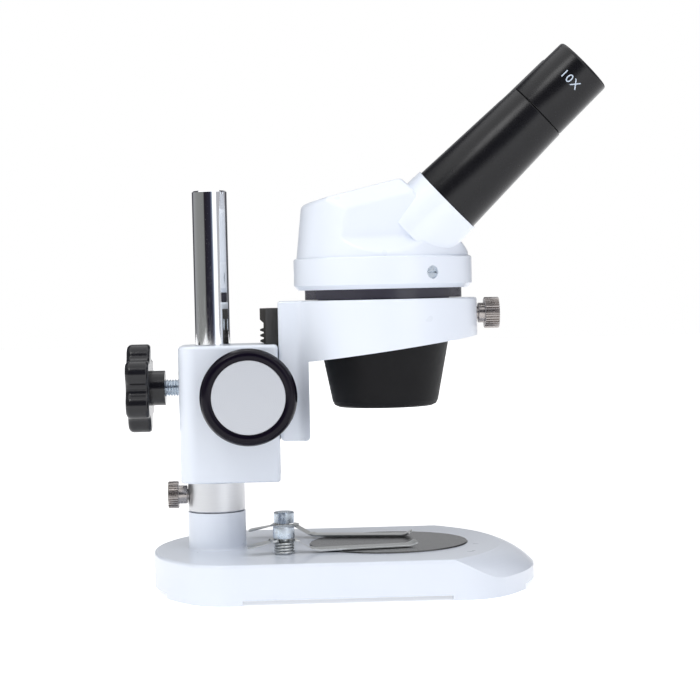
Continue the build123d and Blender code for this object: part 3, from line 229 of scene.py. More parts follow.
nickel_plate = Finish("nickel_plate", Metallic=1.0)
smudge = nickel_plate.grain(2.2, 3.0)
nickel = nickel_plate.set(
    Base_Color=nickel_plate.blend(smudge, (0.38, 0.35, 0.335), (0.46, 0.43, 0.415)),
    Roughness=0.22 + 0.10 * smudge,
    Normal=nickel_plate.relief(nickel_plate.grain(0.3), 0.002, 0.25),
)

# %% [markdown]
# ## Plated and plain steel
# Zinc plate is bluish and cloudy, so its colour and its gloss follow the same cloud.
# Spring steel is rolled, so its grain runs along the strip. The slide is a dark, oiled steel,
# and the pinion shaft and the brass bushes show only in glimpses.

# %% Steels and brass
zinc_plate = Finish("zinc_plate", Metallic=1.0)
cloud = zinc_plate.sharpen(zinc_plate.grain(1.6, 4.0), 0.3, 0.7)
zinc_steel = zinc_plate.set(
    Base_Color=zinc_plate.blend(cloud, (0.52, 0.60, 0.69), (0.64, 0.69, 0.74)),
    Roughness=0.20 + 0.2 * cloud,
    Normal=zinc_plate.relief(zinc_plate.grain(0.4), 0.005, 0.4),
)

rolled_strip = Finish("rolled_strip", Metallic=1.0)
rolling = rolled_strip.grain(0.3, 3.0, stretch=(40, 1, 1))
spring_steel = rolled_strip.set(
    Base_Color=rolled_strip.blend(rolling, (0.56, 0.57, 0.56), (0.70, 0.71, 0.70)),
    Roughness=0.26 + 0.16 * rolling,
    Normal=rolled_strip.relief(rolling, 0.004, 0.4),
)

oiled_steel = Finish("oiled_steel", Metallic=0.7)
milling = oiled_steel.grain(0.3, 2.0, stretch=(1, 1, 24))
dark_steel = oiled_steel.set(
    Base_Color=oiled_steel.blend(milling, (0.055, 0.053, 0.05), (0.11, 0.105, 0.10)),
    Roughness=0.38 + 0.2 * milling,
    Normal=oiled_steel.relief(milling, 0.01, 0.4),
)

ground_steel = Finish("ground_steel", Metallic=1.0)
grinding = ground_steel.grain(0.2, 2.0, stretch=(30, 1, 30))
steel = ground_steel.set(
    Base_Color=ground_steel.blend(grinding, (0.45, 0.45, 0.45), (0.60, 0.60, 0.60)),
    Roughness=0.25 + 0.15 * grinding,
    Normal=ground_steel.relief(grinding, 0.005, 0.4),
)

turned_brass = Finish("turned_brass", Metallic=1.0)
tarnish = turned_brass.grain(1.5, 4.0)
brass = turned_brass.set(
    Base_Color=turned_brass.blend(tarnish, (0.66, 0.46, 0.20), (0.80, 0.62, 0.33)),
    Roughness=0.25 + 0.25 * tarnish,
    Normal=turned_brass.relief(turned_brass.grain(0.3), 0.005, 0.4),
)

# %% [markdown]
# ## Blacks
# Six blacks meet on this microscope and they must not look alike. The tubes and eyepieces
# are lacquered; the focus knobs are polished plastic with a violet tint; the star knob is
# moulded with a fine grain; the cover under the head is dull paint; the ring between head
# and arm is anodised, smooth and slightly purple; and the stage plate is a satin grey-black.
# They differ in roughness, in how strongly they reflect, and in the size of their grain.


# %% Blacks
def black_finish(name, dark, light, rough, spread, grain_mm, depth_mm, **sockets):
    """A black with a cloudy tone, uneven gloss and a fine grain in its surface."""
    black = Finish(name, **sockets)
    tone = black.grain(8, 3.0)
    return black.set(
        Base_Color=black.blend(tone, dark, light),
        Roughness=rough + spread * black.grain(2.5, 3.0),
        Normal=black.relief(black.grain(grain_mm, 2.0), depth_mm, 0.5),
    )


black_gloss = black_finish(
    "lacquered_black", (0.004, 0.004, 0.005), (0.007, 0.007, 0.009), 0.22, 0.08, 0.6, 0.003,
    Specular_IOR_Level=0.35
)
polished_black = black_finish(
    "polished_black", (0.003, 0.002, 0.006), (0.006, 0.004, 0.010), 0.13, 0.10, 0.8, 0.003,
    Specular_IOR_Level=0.17
)
moulded_black = black_finish(
    "moulded_black", (0.006, 0.006, 0.008), (0.010, 0.010, 0.013), 0.15, 0.10, 0.35, 0.008,
    Specular_IOR_Level=0.45
)
dull_black = black_finish(
    "dull_black", (0.006, 0.006, 0.007), (0.009, 0.009, 0.010), 0.45, 0.14, 0.3, 0.015,
    Specular_IOR_Level=0.16
)
black_anodised = black_finish(
    "anodised_black", (0.026, 0.024, 0.040), (0.034, 0.030, 0.050), 0.20, 0.10, 0.5, 0.003,
    Specular_IOR_Level=0.6
)
stage_black = black_finish(
    "stage_plate_black", (0.030, 0.030, 0.031), (0.045, 0.045, 0.046), 0.16, 0.08, 0.4, 0.003,
    Specular_IOR_Level=0.6
)

# %% [markdown]
# ## Knob discs and glass
# The discs let into the focus knobs are a light grey metallic paint over rings left by the
# lathe. The rings are concentric with the knobs, so a Mapping node moves the pattern's
# origin to the focus shaft, and the wave follows the distance from it. The lenses carry a
# violet coating over clear glass.

# %% Disc paint and coated glass
SHAFT_AT = (-52.8 * MM, 0, 88.5 * MM)
disc_paint = Finish("disc_paint", Metallic=0.1)
about_shaft = {"Vector": disc_paint.place, "Location": SHAFT_AT}
from_shaft = disc_paint.sheet.node("ShaderNodeMapping", {"vector_type": "TEXTURE"}, about_shaft)
rings_in = {"Vector": from_shaft, "Scale": 420.0, "Distortion": 0.4, "Detail": 1.0}
ring_kind = {"wave_type": "RINGS", "rings_direction": "Y"}
spun = disc_paint.sheet.node("ShaderNodeTexWave", ring_kind, rings_in, "Fac")
grey_disc = disc_paint.set(
    Base_Color=disc_paint.blend(spun, (0.52, 0.54, 0.58), (0.55, 0.57, 0.61)),
    Roughness=0.36 + 0.08 * spun,
    Normal=disc_paint.relief(spun, 0.004, 0.25),
)

coated = Finish("coated_glass", Transmission_Weight=1.0, IOR=1.55, Coat_Weight=0.6, Coat_Roughness=0.02)
bloom = coated.grain(4, 1.0)
optical_glass = coated.set(
    Base_Color=coated.blend(bloom, (0.72, 0.70, 0.82), (0.80, 0.82, 0.88)),
    Roughness=0.01 + 0.03 * coated.grain(1, 3.0),
    Normal=coated.relief(coated.grain(3), 0.002, 0.2),
)

# %% [markdown]
# ## Finishes on the CAD parts
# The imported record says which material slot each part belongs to. One table from slot to
# finish dresses them all. The focus knobs share a slot with the star knob, but theirs is the
# polished black.

# %% Dress the CAD parts
FINISH_OF_SLOT = {
    "white_paint": white_enamel,
    "chrome": chrome,
    "satin_aluminium": satin_aluminium,
    "nickel": nickel,
    "zinc_steel": zinc_steel,
    "spring_steel": spring_steel,
    "brass": brass,
    "black_plastic": moulded_black,
    "grey_disc": grey_disc,
    "dark_steel": dark_steel,
    "steel": steel,
    "stage_black": stage_black,
    "black_anodised": black_anodised,
    "matte_black": dull_black,
    "black_gloss": black_gloss,
    "optical_glass": optical_glass,
}
slot_of = {part["node"]: part["material_slot"] for part in frame["record"]["subparts"]}
for node_name, node in frame["nodes"].items():
    node.data.materials.clear()
    node.data.materials.append(FINISH_OF_SLOT[slot_of[node_name]])
print("dressed", len(slot_of), "parts in", len(FINISH_OF_SLOT), "finishes")

# %% [markdown]
# ## Making and placing pieces
# New pieces are made standing on the world's origin along Z, in millimetres, then turned to
# their axis and applied, so that the finished object sits at the origin with its place in
# its mesh. Short helpers do the repeated steps: select points by a test, place a piece,
# apply a modifier, weld the mesh, and hand the piece over to the body it moves with.


# %% Helpers for pieces
def select_points(piece, test):
    """In edit mode, selects the vertices whose place, in millimetres, passes the test."""
    bpy.ops.mesh.select_all(action="DESELECT")
    mesh = bmesh.from_edit_mesh(piece.data)
    for vertex in mesh.verts:
        vertex.select = test(vertex.co / MM)
    mesh.select_flush(True)
    bmesh.update_edit_mesh(piece.data)


def only(piece):
    """Makes a piece the only selected and active object."""
    bpy.ops.object.select_all(action="DESELECT")
    piece.select_set(True)
    bpy.context.view_layer.objects.active = piece


def put(piece, origin, axis=(0, 0, 1)):
    """Turns a piece's Z axis to the given axis, moves it to the origin given in mm, applies."""
    turn = Vector(axis).to_track_quat("Z", "Y").to_matrix().to_4x4()
    piece.matrix_world = Matrix.Translation(Vector(origin) * MM) @ turn
    only(piece)
    bpy.ops.object.transform_apply(location=True, rotation=True, scale=True)
    return piece


def modify(piece, kind, **settings):
    """Adds a modifier with its settings and applies it."""
    modifier = piece.modifiers.new(kind.title(), kind)
    for setting, value in settings.items():
        setattr(modifier, setting, value)
    only(piece)
    bpy.ops.object.modifier_apply(modifier=modifier.name)


def weld(piece):
    """Merges doubles, closes holes and turns all faces outwards."""
    only(piece)
    bpy.ops.object.mode_set(mode="EDIT")
    bpy.ops.mesh.select_all(action="SELECT")
    bpy.ops.mesh.remove_doubles(threshold=0.002 * MM)
    bpy.ops.mesh.fill_holes(sides=0)
    bpy.ops.mesh.select_all(action="SELECT")
    bpy.ops.mesh.normals_make_consistent(inside=False)
    bpy.ops.object.mode_set(mode="OBJECT")


def finish_piece(piece, finish, body, slot, *nodes):
    """Gives a piece its finish and smooth shading, and ties it to its body; the slot is not used."""
    piece.data.materials.clear()
    piece.data.materials.append(finish)
    only(piece)
    bpy.ops.object.shade_smooth_by_angle(angle=math.radians(32))
    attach(piece, body)
    if nodes:
        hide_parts(*nodes)
    size = [round(side / MM, 1) for side in piece.dimensions]
    print(piece.name, "on", body, size, "mm,", len(piece.data.polygons), "faces")


def joined(name, *parts):
    """Joins parts into one piece."""
    only(parts[0])
    for part in parts[1:]:
        part.select_set(True)
    bpy.ops.object.join()
    parts[0].name = parts[0].data.name = name
    return parts[0]


# %% [markdown]
# ## A lathe
# Knobs, eyepieces, posts and screw shanks are turned parts. A profile is drawn the way a
# turner thinks of it, as radius and height points: one vertex is extruded from point to
# point, chosen corners are bevelled into small radii, and Spin sweeps the line round the
# axis. The Screw modifier could do the same, but Spin leaves a plain mesh at once.


# %% A line of points and a lathe
def draw_line(name, points, y=0):
    """Extrudes one vertex through (x, z) points in mm, and leaves the line in edit mode."""
    bpy.ops.object.select_all(action="DESELECT")
    bpy.ops.mesh.primitive_plane_add(size=MM)
    line = bpy.context.object
    line.name = line.data.name = name
    bpy.ops.object.mode_set(mode="EDIT")
    bpy.ops.mesh.select_all(action="SELECT")
    bpy.ops.mesh.merge(type="CENTER")
    bpy.ops.transform.translate(value=(points[0][0] * MM, y * MM, points[0][1] * MM))
    for (x0, z0), (x1, z1) in zip(points, points[1:]):
        step = ((x1 - x0) * MM, 0, (z1 - z0) * MM)
        bpy.ops.mesh.extrude_vertices_move(TRANSFORM_OT_translate={"value": step})
    return line


def lathe(name, profile, soft=(), steps=96):
    """Turns (radius, height) points in mm about Z. soft lists (place in profile, corner radius)."""
    piece = draw_line(name, profile)
    for place, radius in soft:
        corner = Vector((profile[place][0], 0, profile[place][1]))
        select_points(piece, lambda p: (p - corner).length < 0.01)
        bpy.ops.mesh.bevel(offset=radius * MM, segments=5, affect="VERTICES")
    bpy.ops.mesh.select_all(action="SELECT")
    bpy.ops.mesh.spin(steps=steps, angle=math.tau, center=(0, 0, 0), axis=(0, 0, 1))
    bpy.ops.object.mode_set(mode="OBJECT")
    weld(piece)
    return piece


# %% [markdown]
# ## Thumbscrews
# Two nickel-plated thumbscrews lock the collar and the head. Their heads have a straight
# knurl, ridges rolled parallel to the axis. The head starts as a filled circle with four
# points to each ridge; two of the four are drawn in to cut the groove, and the outline is
# extruded in three steps with its ends smaller, which leaves the chamfers that the knurling
# tool runs out on. The neck, shank and pointed tip are turned and joined on.


# %% Knurled thumbscrews
COLLAR_SCREW_HEAD, HEAD_SCREW_HEAD = (-91.35, 0, 42.5), (62.55, 0, 123)
GROOVE, RUN_OUT = 0.90, 0.96
CHAMFER, NECK_INLET, POINT = 0.3, 1.0, 1.2


def thumbscrew(name, ridges, head, neck, shank):
    """A thumbscrew along Z. head, neck and shank are (radius, end height) in mm."""
    head_radius, head_end = head
    neck_radius, neck_end = neck
    shank_radius, tip = shank
    bpy.ops.object.select_all(action="DESELECT")
    radius = head_radius * MM
    bpy.ops.mesh.primitive_circle_add(vertices=4 * ridges, radius=radius, fill_type="NGON")
    knurl = bpy.context.object
    bpy.ops.object.mode_set(mode="EDIT")
    mesh = bmesh.from_edit_mesh(knurl.data)
    for number, vertex in enumerate(mesh.verts):
        vertex.select = number % 4 < 2
    mesh.select_flush(True)
    bmesh.update_edit_mesh(knurl.data)
    middle = {"center_override": (0, 0, 0)}
    bpy.ops.transform.resize(value=(GROOVE, GROOVE, 1), **middle)
    bpy.ops.mesh.select_all(action="SELECT")
    bpy.ops.transform.resize(value=(RUN_OUT, RUN_OUT, 1), **middle)
    straight = head_end - 2 * CHAMFER
    for rise, scale in ((CHAMFER, 1 / RUN_OUT), (straight, 1), (CHAMFER, RUN_OUT)):
        move = {"value": (0, 0, rise * MM)}
        bpy.ops.mesh.extrude_region_move(TRANSFORM_OT_translate=move)
        bpy.ops.transform.resize(value=(scale, scale, 1), **middle)
    bpy.ops.object.mode_set(mode="OBJECT")
    weld(knurl)
    core = [
        (0, head_end - NECK_INLET),
        (neck_radius, head_end - NECK_INLET),
        (neck_radius, neck_end),
        (shank_radius, neck_end),
        (shank_radius, tip - POINT),
        (shank_radius - POINT, tip),
        (0, tip),
    ]
    return joined(name, knurl, lathe(name + "_core", core, [(2, 0.4)], 48))


collar_screw_name = "collar_thumbscrew_knurled"
collar_thumbscrew = thumbscrew(collar_screw_name, 32, (6.2, 4.8), (4.2, 8.75), (2.5, 13.75))
put(collar_thumbscrew, COLLAR_SCREW_HEAD, (1, 0, 0))
finish_piece(collar_thumbscrew, nickel, "collar_thumbscrew", "nickel", "collar_screw")

head_thumbscrew = thumbscrew("head_thumbscrew_knurled", 34, (7.15, 6.7), (4.6, 9.6), (3.0, 24.1))
put(head_thumbscrew, HEAD_SCREW_HEAD, (-1, 0, 0))
finish_piece(head_thumbscrew, nickel, "head_lock", "nickel", "head_lock_screw")

# %% [markdown]
# ## The clamp stud
# An M8 stud runs from the star knob into the focus body, and its thread shows between them.
# A thread is a ridge wound round a core. The ridge's outline is drawn once and wound by a
# Screw modifier, whose offset is the pitch, and its two open ends are closed.


# %% Winding a shape into a helix
def wind(piece, turns, rise_mm, steps_a_turn):
    """Winds the outline of a piece round Z and closes the ends."""
    steps = round(steps_a_turn * turns)
    modify(
        piece,
        "SCREW",
        angle=math.tau * turns,
        screw_offset=rise_mm * MM,
        steps=steps,
        render_steps=steps,
        use_merge_vertices=False,
    )
    weld(piece)
    return piece


# %% The threaded stud
STUD_FOOT, STUD_LENGTH, STUD_RADIUS, STUD_CHAMFER = (-105.75, 0, 91.8), 25.4, 3.95, 0.8
THREAD_ROOT, THREAD_PITCH, THREAD_TURNS, THREAD_START = 3.3, 1.25, 18, 1.2
RIDGE_ROOT, RIDGE_HALF_FOOT, RIDGE_HALF_CREST = THREAD_ROOT - 0.15, 0.58, 0.08

bpy.ops.object.select_all(action="DESELECT")
bpy.ops.mesh.primitive_circle_add(vertices=4, radius=0.5 * THREAD_PITCH * MM)
ridge = bpy.context.object
ridge_outline = [
    (RIDGE_ROOT, -RIDGE_HALF_FOOT),
    (STUD_RADIUS, -RIDGE_HALF_CREST),
    (STUD_RADIUS, RIDGE_HALF_CREST),
    (RIDGE_ROOT, RIDGE_HALF_FOOT),
]
for vertex, (radius, height) in zip(ridge.data.vertices, ridge_outline):
    vertex.co = (radius * MM, 0, (height + THREAD_START) * MM)
wind(ridge, THREAD_TURNS, THREAD_TURNS * THREAD_PITCH, 40)
core_outline = [
    (0, 0),
    (THREAD_ROOT, 0),
    (THREAD_ROOT, STUD_LENGTH - STUD_CHAMFER),
    (THREAD_ROOT - STUD_CHAMFER, STUD_LENGTH),
    (0, STUD_LENGTH),
]
stud_core = lathe("stud_core", core_outline, steps=48)
clamp_stud = joined("clamp_stud_threaded", stud_core, ridge)
put(clamp_stud, STUD_FOOT, (1, 0, 0))
finish_piece(clamp_stud, zinc_steel, "pillar_clamp", "zinc_steel", "clamp_stud")

# %% [markdown]
# ## Clip posts and springs
# Each stage clip is held by a turned post with a plain cylindrical cap, plated bluish like
# the stud, and a coil spring sits under it. The posts are one part of the stand, so the two
# are turned and joined. The spring is a circle of wire wound like the thread.

# %% Posts and springs
POST_X, POST_Y = -38.7, 28
POST_FOOT, CAP_FOOT, CAP_TOP = 9, 24.8, 30.2
POST_RADIUS, CAP_RADIUS = 2.4, 4.8
SPRING_FOOT, SPRING_RISE, SPRING_TURNS, SPRING_MEAN, WIRE = 17.7, 4.6, 3.5, 4.0, 1.1


def clip_post(name, side):
    """Turns one post with its cap, on the side given as -1 or 1."""
    profile = [
        (0, POST_FOOT),
        (POST_RADIUS, POST_FOOT),
        (POST_RADIUS, CAP_FOOT),
        (CAP_RADIUS, CAP_FOOT),
        (CAP_RADIUS, CAP_TOP),
        (0, CAP_TOP),
    ]
    return put(lathe(name, profile, [(3, 0.25), (4, 0.7)], 64), (POST_X, side * POST_Y, 0))


posts = joined("clip_posts_turned", clip_post("post_left", -1), clip_post("post_right", 1))
finish_piece(posts, zinc_steel, "stand", "nickel", "clip_posts")

for side_name, side in (("left", -1), ("right", 1)):
    bpy.ops.object.select_all(action="DESELECT")
    upright = (math.pi / 2, 0, 0)
    bpy.ops.mesh.primitive_circle_add(vertices=12, radius=WIRE / 2 * MM, rotation=upright)
    spring = bpy.context.object
    bpy.ops.object.transform_apply(rotation=True)
    for vertex in spring.data.vertices:
        vertex.co += Vector((SPRING_MEAN, 0, SPRING_FOOT + WIRE / 2)) * MM
    spring.name = spring.data.name = f"clip_spring_{side_name}_coil"
    wind(spring, SPRING_TURNS, SPRING_RISE, 40)
    put(spring, (POST_X, side * POST_Y, 0))
    finish_piece(spring, spring_steel, "stand", "spring_steel", f"clip_spring_{side_name}")

# %% [markdown]
# ## Stage clips
# The clips are bent from 0.8 mm spring steel strip. The strip's side view is one line of
# points whose corners are bevelled into bends; extruding that line sideways makes the sheet,
# its four corners are rounded, and Solidify gives it its thickness. A cylinder cuts the hole
# for the post. Each is then turned to toe in over the stage.

# %% Bent clips
STRIP, STRIP_WIDTH, TOE_IN = 0.8, 9, math.radians(10)
STRIP_LINE = [(-17, 21.7), (-4.8, 23.7), (5.3, 23.7), (14, 18.6), (58, 18.6), (61, 20.2)]
TAIL_X, TIP_X = STRIP_LINE[0][0], STRIP_LINE[-1][0]
TAIL_CORNER, TIP_CORNER, BEND = 2.2, 1.2, 1.6
HOLE_RADIUS, HOLE_DEPTH, HOLE_Z = 2.45, 6, 24
DEBURR, SHARP_ANGLE = 0.15, math.radians(50)


def clip_sheet(name):
    """Bends the side line, extrudes it sideways and rounds the corners of the sheet."""
    clip = draw_line(name, STRIP_LINE, -STRIP_WIDTH / 2)
    select_points(clip, lambda p: TAIL_X + 1 < p.x < TIP_X - 1)
    bpy.ops.mesh.bevel(offset=BEND * MM, segments=5, affect="VERTICES")
    bpy.ops.mesh.select_all(action="SELECT")
    sideways = {"value": (0, STRIP_WIDTH * MM, 0)}
    bpy.ops.mesh.extrude_region_move(TRANSFORM_OT_translate=sideways)
    for end, radius in ((TAIL_X, TAIL_CORNER), (TIP_X, TIP_CORNER)):
        select_points(clip, lambda p: abs(p.x - end) < 0.1)
        bpy.ops.mesh.bevel(offset=radius * MM, segments=6, affect="VERTICES")
    bpy.ops.object.mode_set(mode="OBJECT")
    return clip


def drill_hole(clip):
    """Cuts the hole that the post goes through."""
    bpy.ops.object.select_all(action="DESELECT")
    size = {"radius": HOLE_RADIUS * MM, "depth": HOLE_DEPTH * MM}
    bpy.ops.mesh.primitive_cylinder_add(vertices=48, location=(0, 0, HOLE_Z * MM), **size)
    drill = bpy.context.object
    modify(clip, "BOOLEAN", object=drill, operation="DIFFERENCE", solver="EXACT")
    bpy.data.objects.remove(drill)


for side_name, side in (("left", -1), ("right", 1)):
    clip = clip_sheet(f"stage_clip_{side_name}_bent")
    modify(clip, "SOLIDIFY", thickness=STRIP * MM, offset=1)
    weld(clip)
    drill_hole(clip)
    modify(clip, "BEVEL", width=DEBURR * MM, segments=2, limit_method="ANGLE", angle_limit=SHARP_ANGLE)
    on_post = Matrix.Translation((POST_X * MM, side * POST_Y * MM, 0))
    clip.matrix_world = on_post @ Matrix.Rotation(-side * TOE_IN, 4, "Z")
    only(clip)
    bpy.ops.object.transform_apply(location=True, rotation=True, scale=True)
    finish_piece(clip, spring_steel, f"clip_{side_name}", "spring_steel", f"stage_clip_{side_name}")

# %% [markdown]
# ## Focus knobs
# The two focus knobs are deep black cups with a full rounded lip, and a grey disc is let
# into each. A highlight runs round the lip, so the lip needs true radii: its corners are
# bevelled in the profile before it is turned.

# %% Focus knobs and discs
SHAFT_PLACE, SHAFT_BORE = (-52.8, 0, 88.5), 3.05
KNOB_BACK, KNOB_FACE, DISC_SEAT, DISC_FACE = 21.2, 41.6, 39.7, 41.2
BACK_RADIUS, FLARE_RADIUS, KNOB_RADIUS = 17.6, 19.8, 21.6
LIP_OUTER, LIP_INNER, RECESS_RADIUS, DISC_RADIUS = 20.4, 18.4, 16.5, 16.4

for side_name, side in (("left", -1), ("right", 1)):
    knob = lathe(
        f"focus_knob_{side_name}_turned",
        [
            (SHAFT_BORE, KNOB_BACK),
            (BACK_RADIUS, KNOB_BACK),
            (FLARE_RADIUS, KNOB_BACK + 2.2),
            (KNOB_RADIUS, KNOB_FACE - 5.6),
            (KNOB_RADIUS, KNOB_FACE - 3.2),
            (LIP_OUTER, KNOB_FACE - 0.5),
            (LIP_INNER, KNOB_FACE),
            (RECESS_RADIUS + 0.05, KNOB_FACE - 0.4),
            (RECESS_RADIUS, DISC_SEAT),
            (SHAFT_BORE, DISC_SEAT),
            (SHAFT_BORE, KNOB_BACK),
        ],
        [(1, 0.8), (2, 0.9), (3, 1.6), (4, 1.1), (5, 1.0), (6, 0.9), (7, 0.2)],
        128,
    )
    put(knob, SHAFT_PLACE, (0, side, 0))
    finish_piece(knob, polished_black, "focus_drive", "black_plastic", f"focus_knob_{side_name}")
    disc = lathe(
        f"knob_disc_{side_name}_turned",
        [(0, DISC_SEAT), (DISC_RADIUS, DISC_SEAT), (DISC_RADIUS, DISC_FACE), (0, DISC_FACE)],
        [(2, 0.35)],
        128,
    )
    put(disc, SHAFT_PLACE, (0, side, 0))
    finish_piece(disc, grey_disc, "focus_drive", "grey_disc", f"knob_disc_{side_name}")

# %% [markdown]
# ## Tubes and eyepieces
# The eyepiece tubes taper towards the eye, and each eyepiece drops into its tube until its
# shoulder nearly meets the tube's end, leaving a fine dark seam. The two axes lean back and
# converge towards the object. The parts are turned with soft edges, because black gloss
# shows every edge as a bright line.

# %% Tubes and eyepieces
TILT, SPREAD = math.radians(43.5), math.radians(6.6)
SEAM_X, SEAM_Y, SEAM_Z = 38.25, 20.2, 174.3
TUBE_LENGTH, EYEPIECE_END, LENS_SEAT = 55.9, 85.15, 79.1
TUBE_BORE, TUBE_SPIGOT, TUBE_FOOT, TUBE_END, SPIGOT_DEPTH = 11.65, 14.95, 16.7, 14.5, -8
BARREL_RADIUS, BARREL_BORE, BARREL_FOOT, EYE_OPENING = 11.6, 10, 34, 10.6
SHOULDER = TUBE_LENGTH + 0.3


def tube_axis(side):
    """The direction from the head to the eye on one side."""
    level = math.cos(SPREAD)
    return Vector((level * math.cos(TILT), side * math.sin(SPREAD), level * math.sin(TILT)))


for side_name, side in (("left", -1), ("right", 1)):
    seam = (SEAM_X, side * SEAM_Y, SEAM_Z)
    tube = lathe(
        f"eyepiece_tube_{side_name}_turned",
        [
            (TUBE_BORE, SPIGOT_DEPTH),
            (TUBE_SPIGOT, SPIGOT_DEPTH),
            (TUBE_SPIGOT, 0),
            (TUBE_FOOT, 0),
            (TUBE_END, TUBE_LENGTH),
            (TUBE_BORE, TUBE_LENGTH),
            (TUBE_BORE, SPIGOT_DEPTH),
        ],
        [(3, 0.3), (4, 0.35)],
    )
    put(tube, seam, tube_axis(side))
    finish_piece(tube, black_gloss, "head", "black_gloss", f"eyepiece_tube_{side_name}")
    eyepiece = lathe(
        f"eyepiece_{side_name}_turned",
        [
            (BARREL_BORE, BARREL_FOOT),
            (BARREL_RADIUS, BARREL_FOOT),
            (BARREL_RADIUS, SHOULDER),
            (14.3, SHOULDER),
            (13.85, EYEPIECE_END),
            (12.1, EYEPIECE_END),
            (EYE_OPENING, EYEPIECE_END - 2.2),
            (EYE_OPENING, LENS_SEAT),
            (BARREL_BORE, LENS_SEAT),
            (BARREL_BORE, BARREL_FOOT),
        ],
        [(3, 0.35), (4, 1.4), (5, 0.3), (6, 0.5)],
    )
    put(eyepiece, seam, tube_axis(side))
    unit = f"eyepiece_unit_{side_name}"
    finish_piece(eyepiece, black_gloss, unit, "black_gloss", f"eyepiece_{side_name}")

# %% [markdown]
# ## The magnification mark
# Eyepieces carry their power in white. A Text object is made a mesh, given a little
# thickness, and wrapped on the eyepiece: its width becomes an angle round the axis and its
# height a distance along it.

# %% Magnification marks
print_white = Finish("print_white", Roughness=0.5)
worn = print_white.grain(0.5, 3.0)
mark_white = print_white.set(
    Base_Color=print_white.blend(worn, (0.42, 0.50, 0.60), (0.60, 0.68, 0.78)),
)
MARK_HEIGHT, MARK_FOOT, MARK_RADIUS = 3.9, 73.6, 14.12

for side_name, side in (("left", -1), ("right", 1)):
    bpy.ops.object.select_all(action="DESELECT")
    bpy.ops.object.text_add()
    mark = bpy.context.object
    mark.data.body = "10X"
    mark.data.size = MARK_HEIGHT * 1.42 * MM
    mark.data.space_character = 1.12
    mark.data.align_x = "CENTER"
    mark.data.extrude = 0.04 * MM
    only(mark)
    bpy.ops.object.convert(target="MESH")
    mark = bpy.context.object
    mark.name = mark.data.name = f"eyepiece_mark_{side_name}"
    bpy.ops.object.mode_set(mode="EDIT")
    bpy.ops.mesh.select_all(action="SELECT")
    bpy.ops.mesh.subdivide(number_cuts=2)
    bpy.ops.object.mode_set(mode="OBJECT")
    for vertex in mark.data.vertices:
        across, along, out = vertex.co / MM
        angle = across / MARK_RADIUS
        radius = MARK_RADIUS + out
        x, y = radius * math.sin(angle), -radius * math.cos(angle)
        vertex.co = Vector((x, y, along + MARK_FOOT)) * MM
    weld(mark)
    axis = tube_axis(side)
    outward = Vector((0, side, 0))
    outward = (outward - outward.dot(axis) * axis).normalized()
    around_tube = Matrix((outward.cross(axis) * -1, -outward, axis)).transposed().to_4x4()
    seam = Vector((SEAM_X, side * SEAM_Y, SEAM_Z)) * MM
    mark.matrix_world = Matrix.Translation(seam) @ around_tube
    only(mark)
    bpy.ops.object.transform_apply(location=True, rotation=True, scale=True)
    finish_piece(mark, mark_white, f"eyepiece_unit_{side_name}", "white_paint")

# %% [markdown]
# ## Floor and light
# A studio table and backdrop of one white, with a soft lamp to the right of the camera, a
# wide one overhead and one on the left. A small lamp high on the left adds a soft line of
# light along the black tubes. A lamp that shows in metal as a hard patch can be kept out
# of reflections, as the left one is. The floor glows more with distance, because the lamps
# don't reach its far part. Chrome shows the room and not itself, so the world holds a few
# dark bands between bright walls; straight lines of sight to it are plain white.

# %% Floor
FLOOR_SIZE, GLOW_FROM, GLOW_TO = 8, 0.25, 1.2
bpy.ops.object.select_all(action="DESELECT")
bpy.ops.mesh.primitive_plane_add(size=FLOOR_SIZE)
floor = bpy.context.object
floor.name = "studio_floor"
# The floor is paint plus a glow: its emission is painted light, weak near the microscope and full far
# away, where the lamps don't reach.
floor_paint_and_glow = Finish("floor_paint_and_glow", Roughness=1.0, Specular_IOR_Level=0.0, Emission_Strength=1.0)
reach = {0: floor_paint_and_glow.place}
away = floor_paint_and_glow.sheet.node("ShaderNodeVectorMath", {"operation": "LENGTH"}, reach, "Value")
far = floor_paint_and_glow.sharpen(away, GLOW_FROM, GLOW_TO)
cloudy = floor_paint_and_glow.grain(300)
floor.data.materials.append(
    floor_paint_and_glow.set(
        Base_Color=floor_paint_and_glow.blend(cloudy, (0.90, 0.90, 0.90), (0.92, 0.92, 0.92)),
        # Painted light: the floor's glow grows with distance from the microscope.
        Emission_Color=floor_paint_and_glow.blend(far, (0.38, 0.38, 0.38), (1.0, 1.0, 1.0)),
    )
)

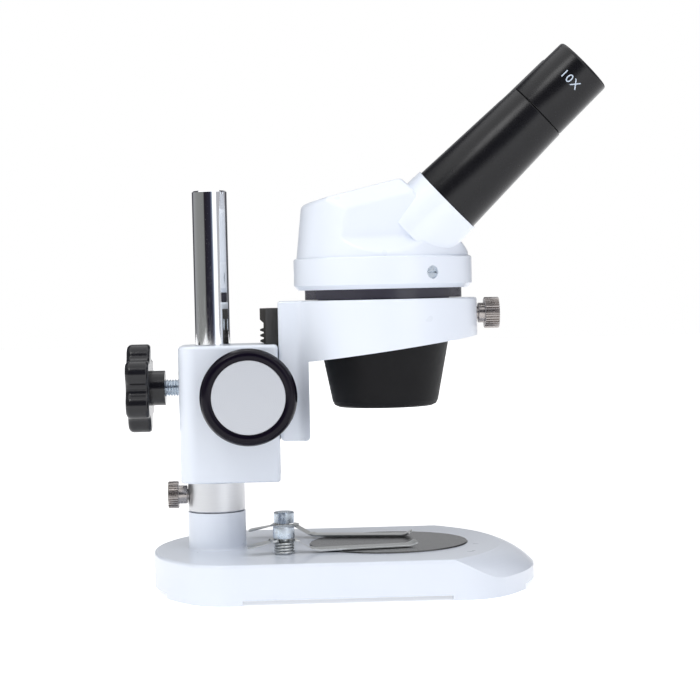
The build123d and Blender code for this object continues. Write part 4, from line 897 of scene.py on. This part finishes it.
# %% Lamps
LAMPS = (
    ("lamp_right", (0.50, -0.85, 0.50), 0.55, 0.9, 1.3),
    ("lamp_left", (-0.95, -0.55, 0.55), 0.6, 0.8, 3.2),
    ("lamp_glint", (-0.40, -0.63, 0.81), 0.3, 0.3, 1.2),
    ("lamp_above", (-0.05, -0.10, 1.00), 1.5, 1.5, 8.0),
)
AIM = Vector((0, 0, 0.12))
UNREFLECTED_LAMP = "lamp_left"
for name, place, width, height, watts in LAMPS:
    lamp_data = bpy.data.lights.new(name, "AREA")
    lamp_data.shape, lamp_data.size, lamp_data.size_y = "RECTANGLE", width, height
    lamp_data.energy = watts
    lamp = bpy.data.objects.new(name, lamp_data)
    bpy.context.scene.collection.objects.link(lamp)
    lamp.location = place
    lamp.visible_glossy = name != UNREFLECTED_LAMP
    lamp.rotation_euler = (AIM - Vector(place)).to_track_quat("-Z", "Y").to_euler()
    print(name, watts, "W")

# %% World
world = bpy.data.worlds.new("studio")
bpy.context.scene.world = world
world.use_nodes = True
room = Signal(world.node_tree)
for old in list(world.node_tree.nodes):
    world.node_tree.nodes.remove(old)
sight = room.node("ShaderNodeTexCoord", {}, {}, "Generated")
east = room.node("ShaderNodeSeparateXYZ", {}, {0: sight}, "X")
north = room.node("ShaderNodeSeparateXYZ", {}, {0: sight}, "Y")
bearing = 0.5 + room.maths("ARCTAN2", east, 0 - north) / math.tau
ROOM_STOPS = (
    (0.0, (0.80, 0.81, 0.83)),
    (0.03, (0.80, 0.81, 0.83)),
    (0.06, (0.10, 0.10, 0.12)),
    (0.12, (0.12, 0.12, 0.14)),
    (0.15, (0.60, 0.61, 0.63)),
    (0.25, (0.46, 0.47, 0.46)),
    (0.39, (0.40, 0.41, 0.40)),
    (0.41, (0.035, 0.03, 0.04)),
    (0.515, (0.05, 0.05, 0.08)),
    (0.535, (0.20, 0.22, 0.35)),
    (0.55, (0.60, 0.70, 0.80)),
    (0.57, (0.85, 0.88, 0.95)),
    (0.68, (0.85, 0.85, 0.90)),
    (0.84, (0.75, 0.75, 0.80)),
    (0.87, (0.12, 0.12, 0.14)),
    (0.92, (0.10, 0.10, 0.12)),
    (0.95, (0.80, 0.81, 0.83)),
)
print("room shades:", len(ROOM_STOPS))
walls = room.node("ShaderNodeValToRGB", {"stops": ROOM_STOPS}, {0: bearing})
seen = room.node("ShaderNodeLightPath", {}, {}, "Is Camera Ray")
lit = room.node("ShaderNodeBackground", {}, {"Color": walls, "Strength": 0.6})
plain = room.node("ShaderNodeBackground", {}, {"Color": (1, 1, 1, 1), "Strength": 1.0})
both = room.node("ShaderNodeMixShader", {}, {0: seen, 1: lit, 2: plain})
output = world.node_tree.nodes.new("ShaderNodeOutputWorld")
world.node_tree.links.new(both.socket, output.inputs["Surface"])
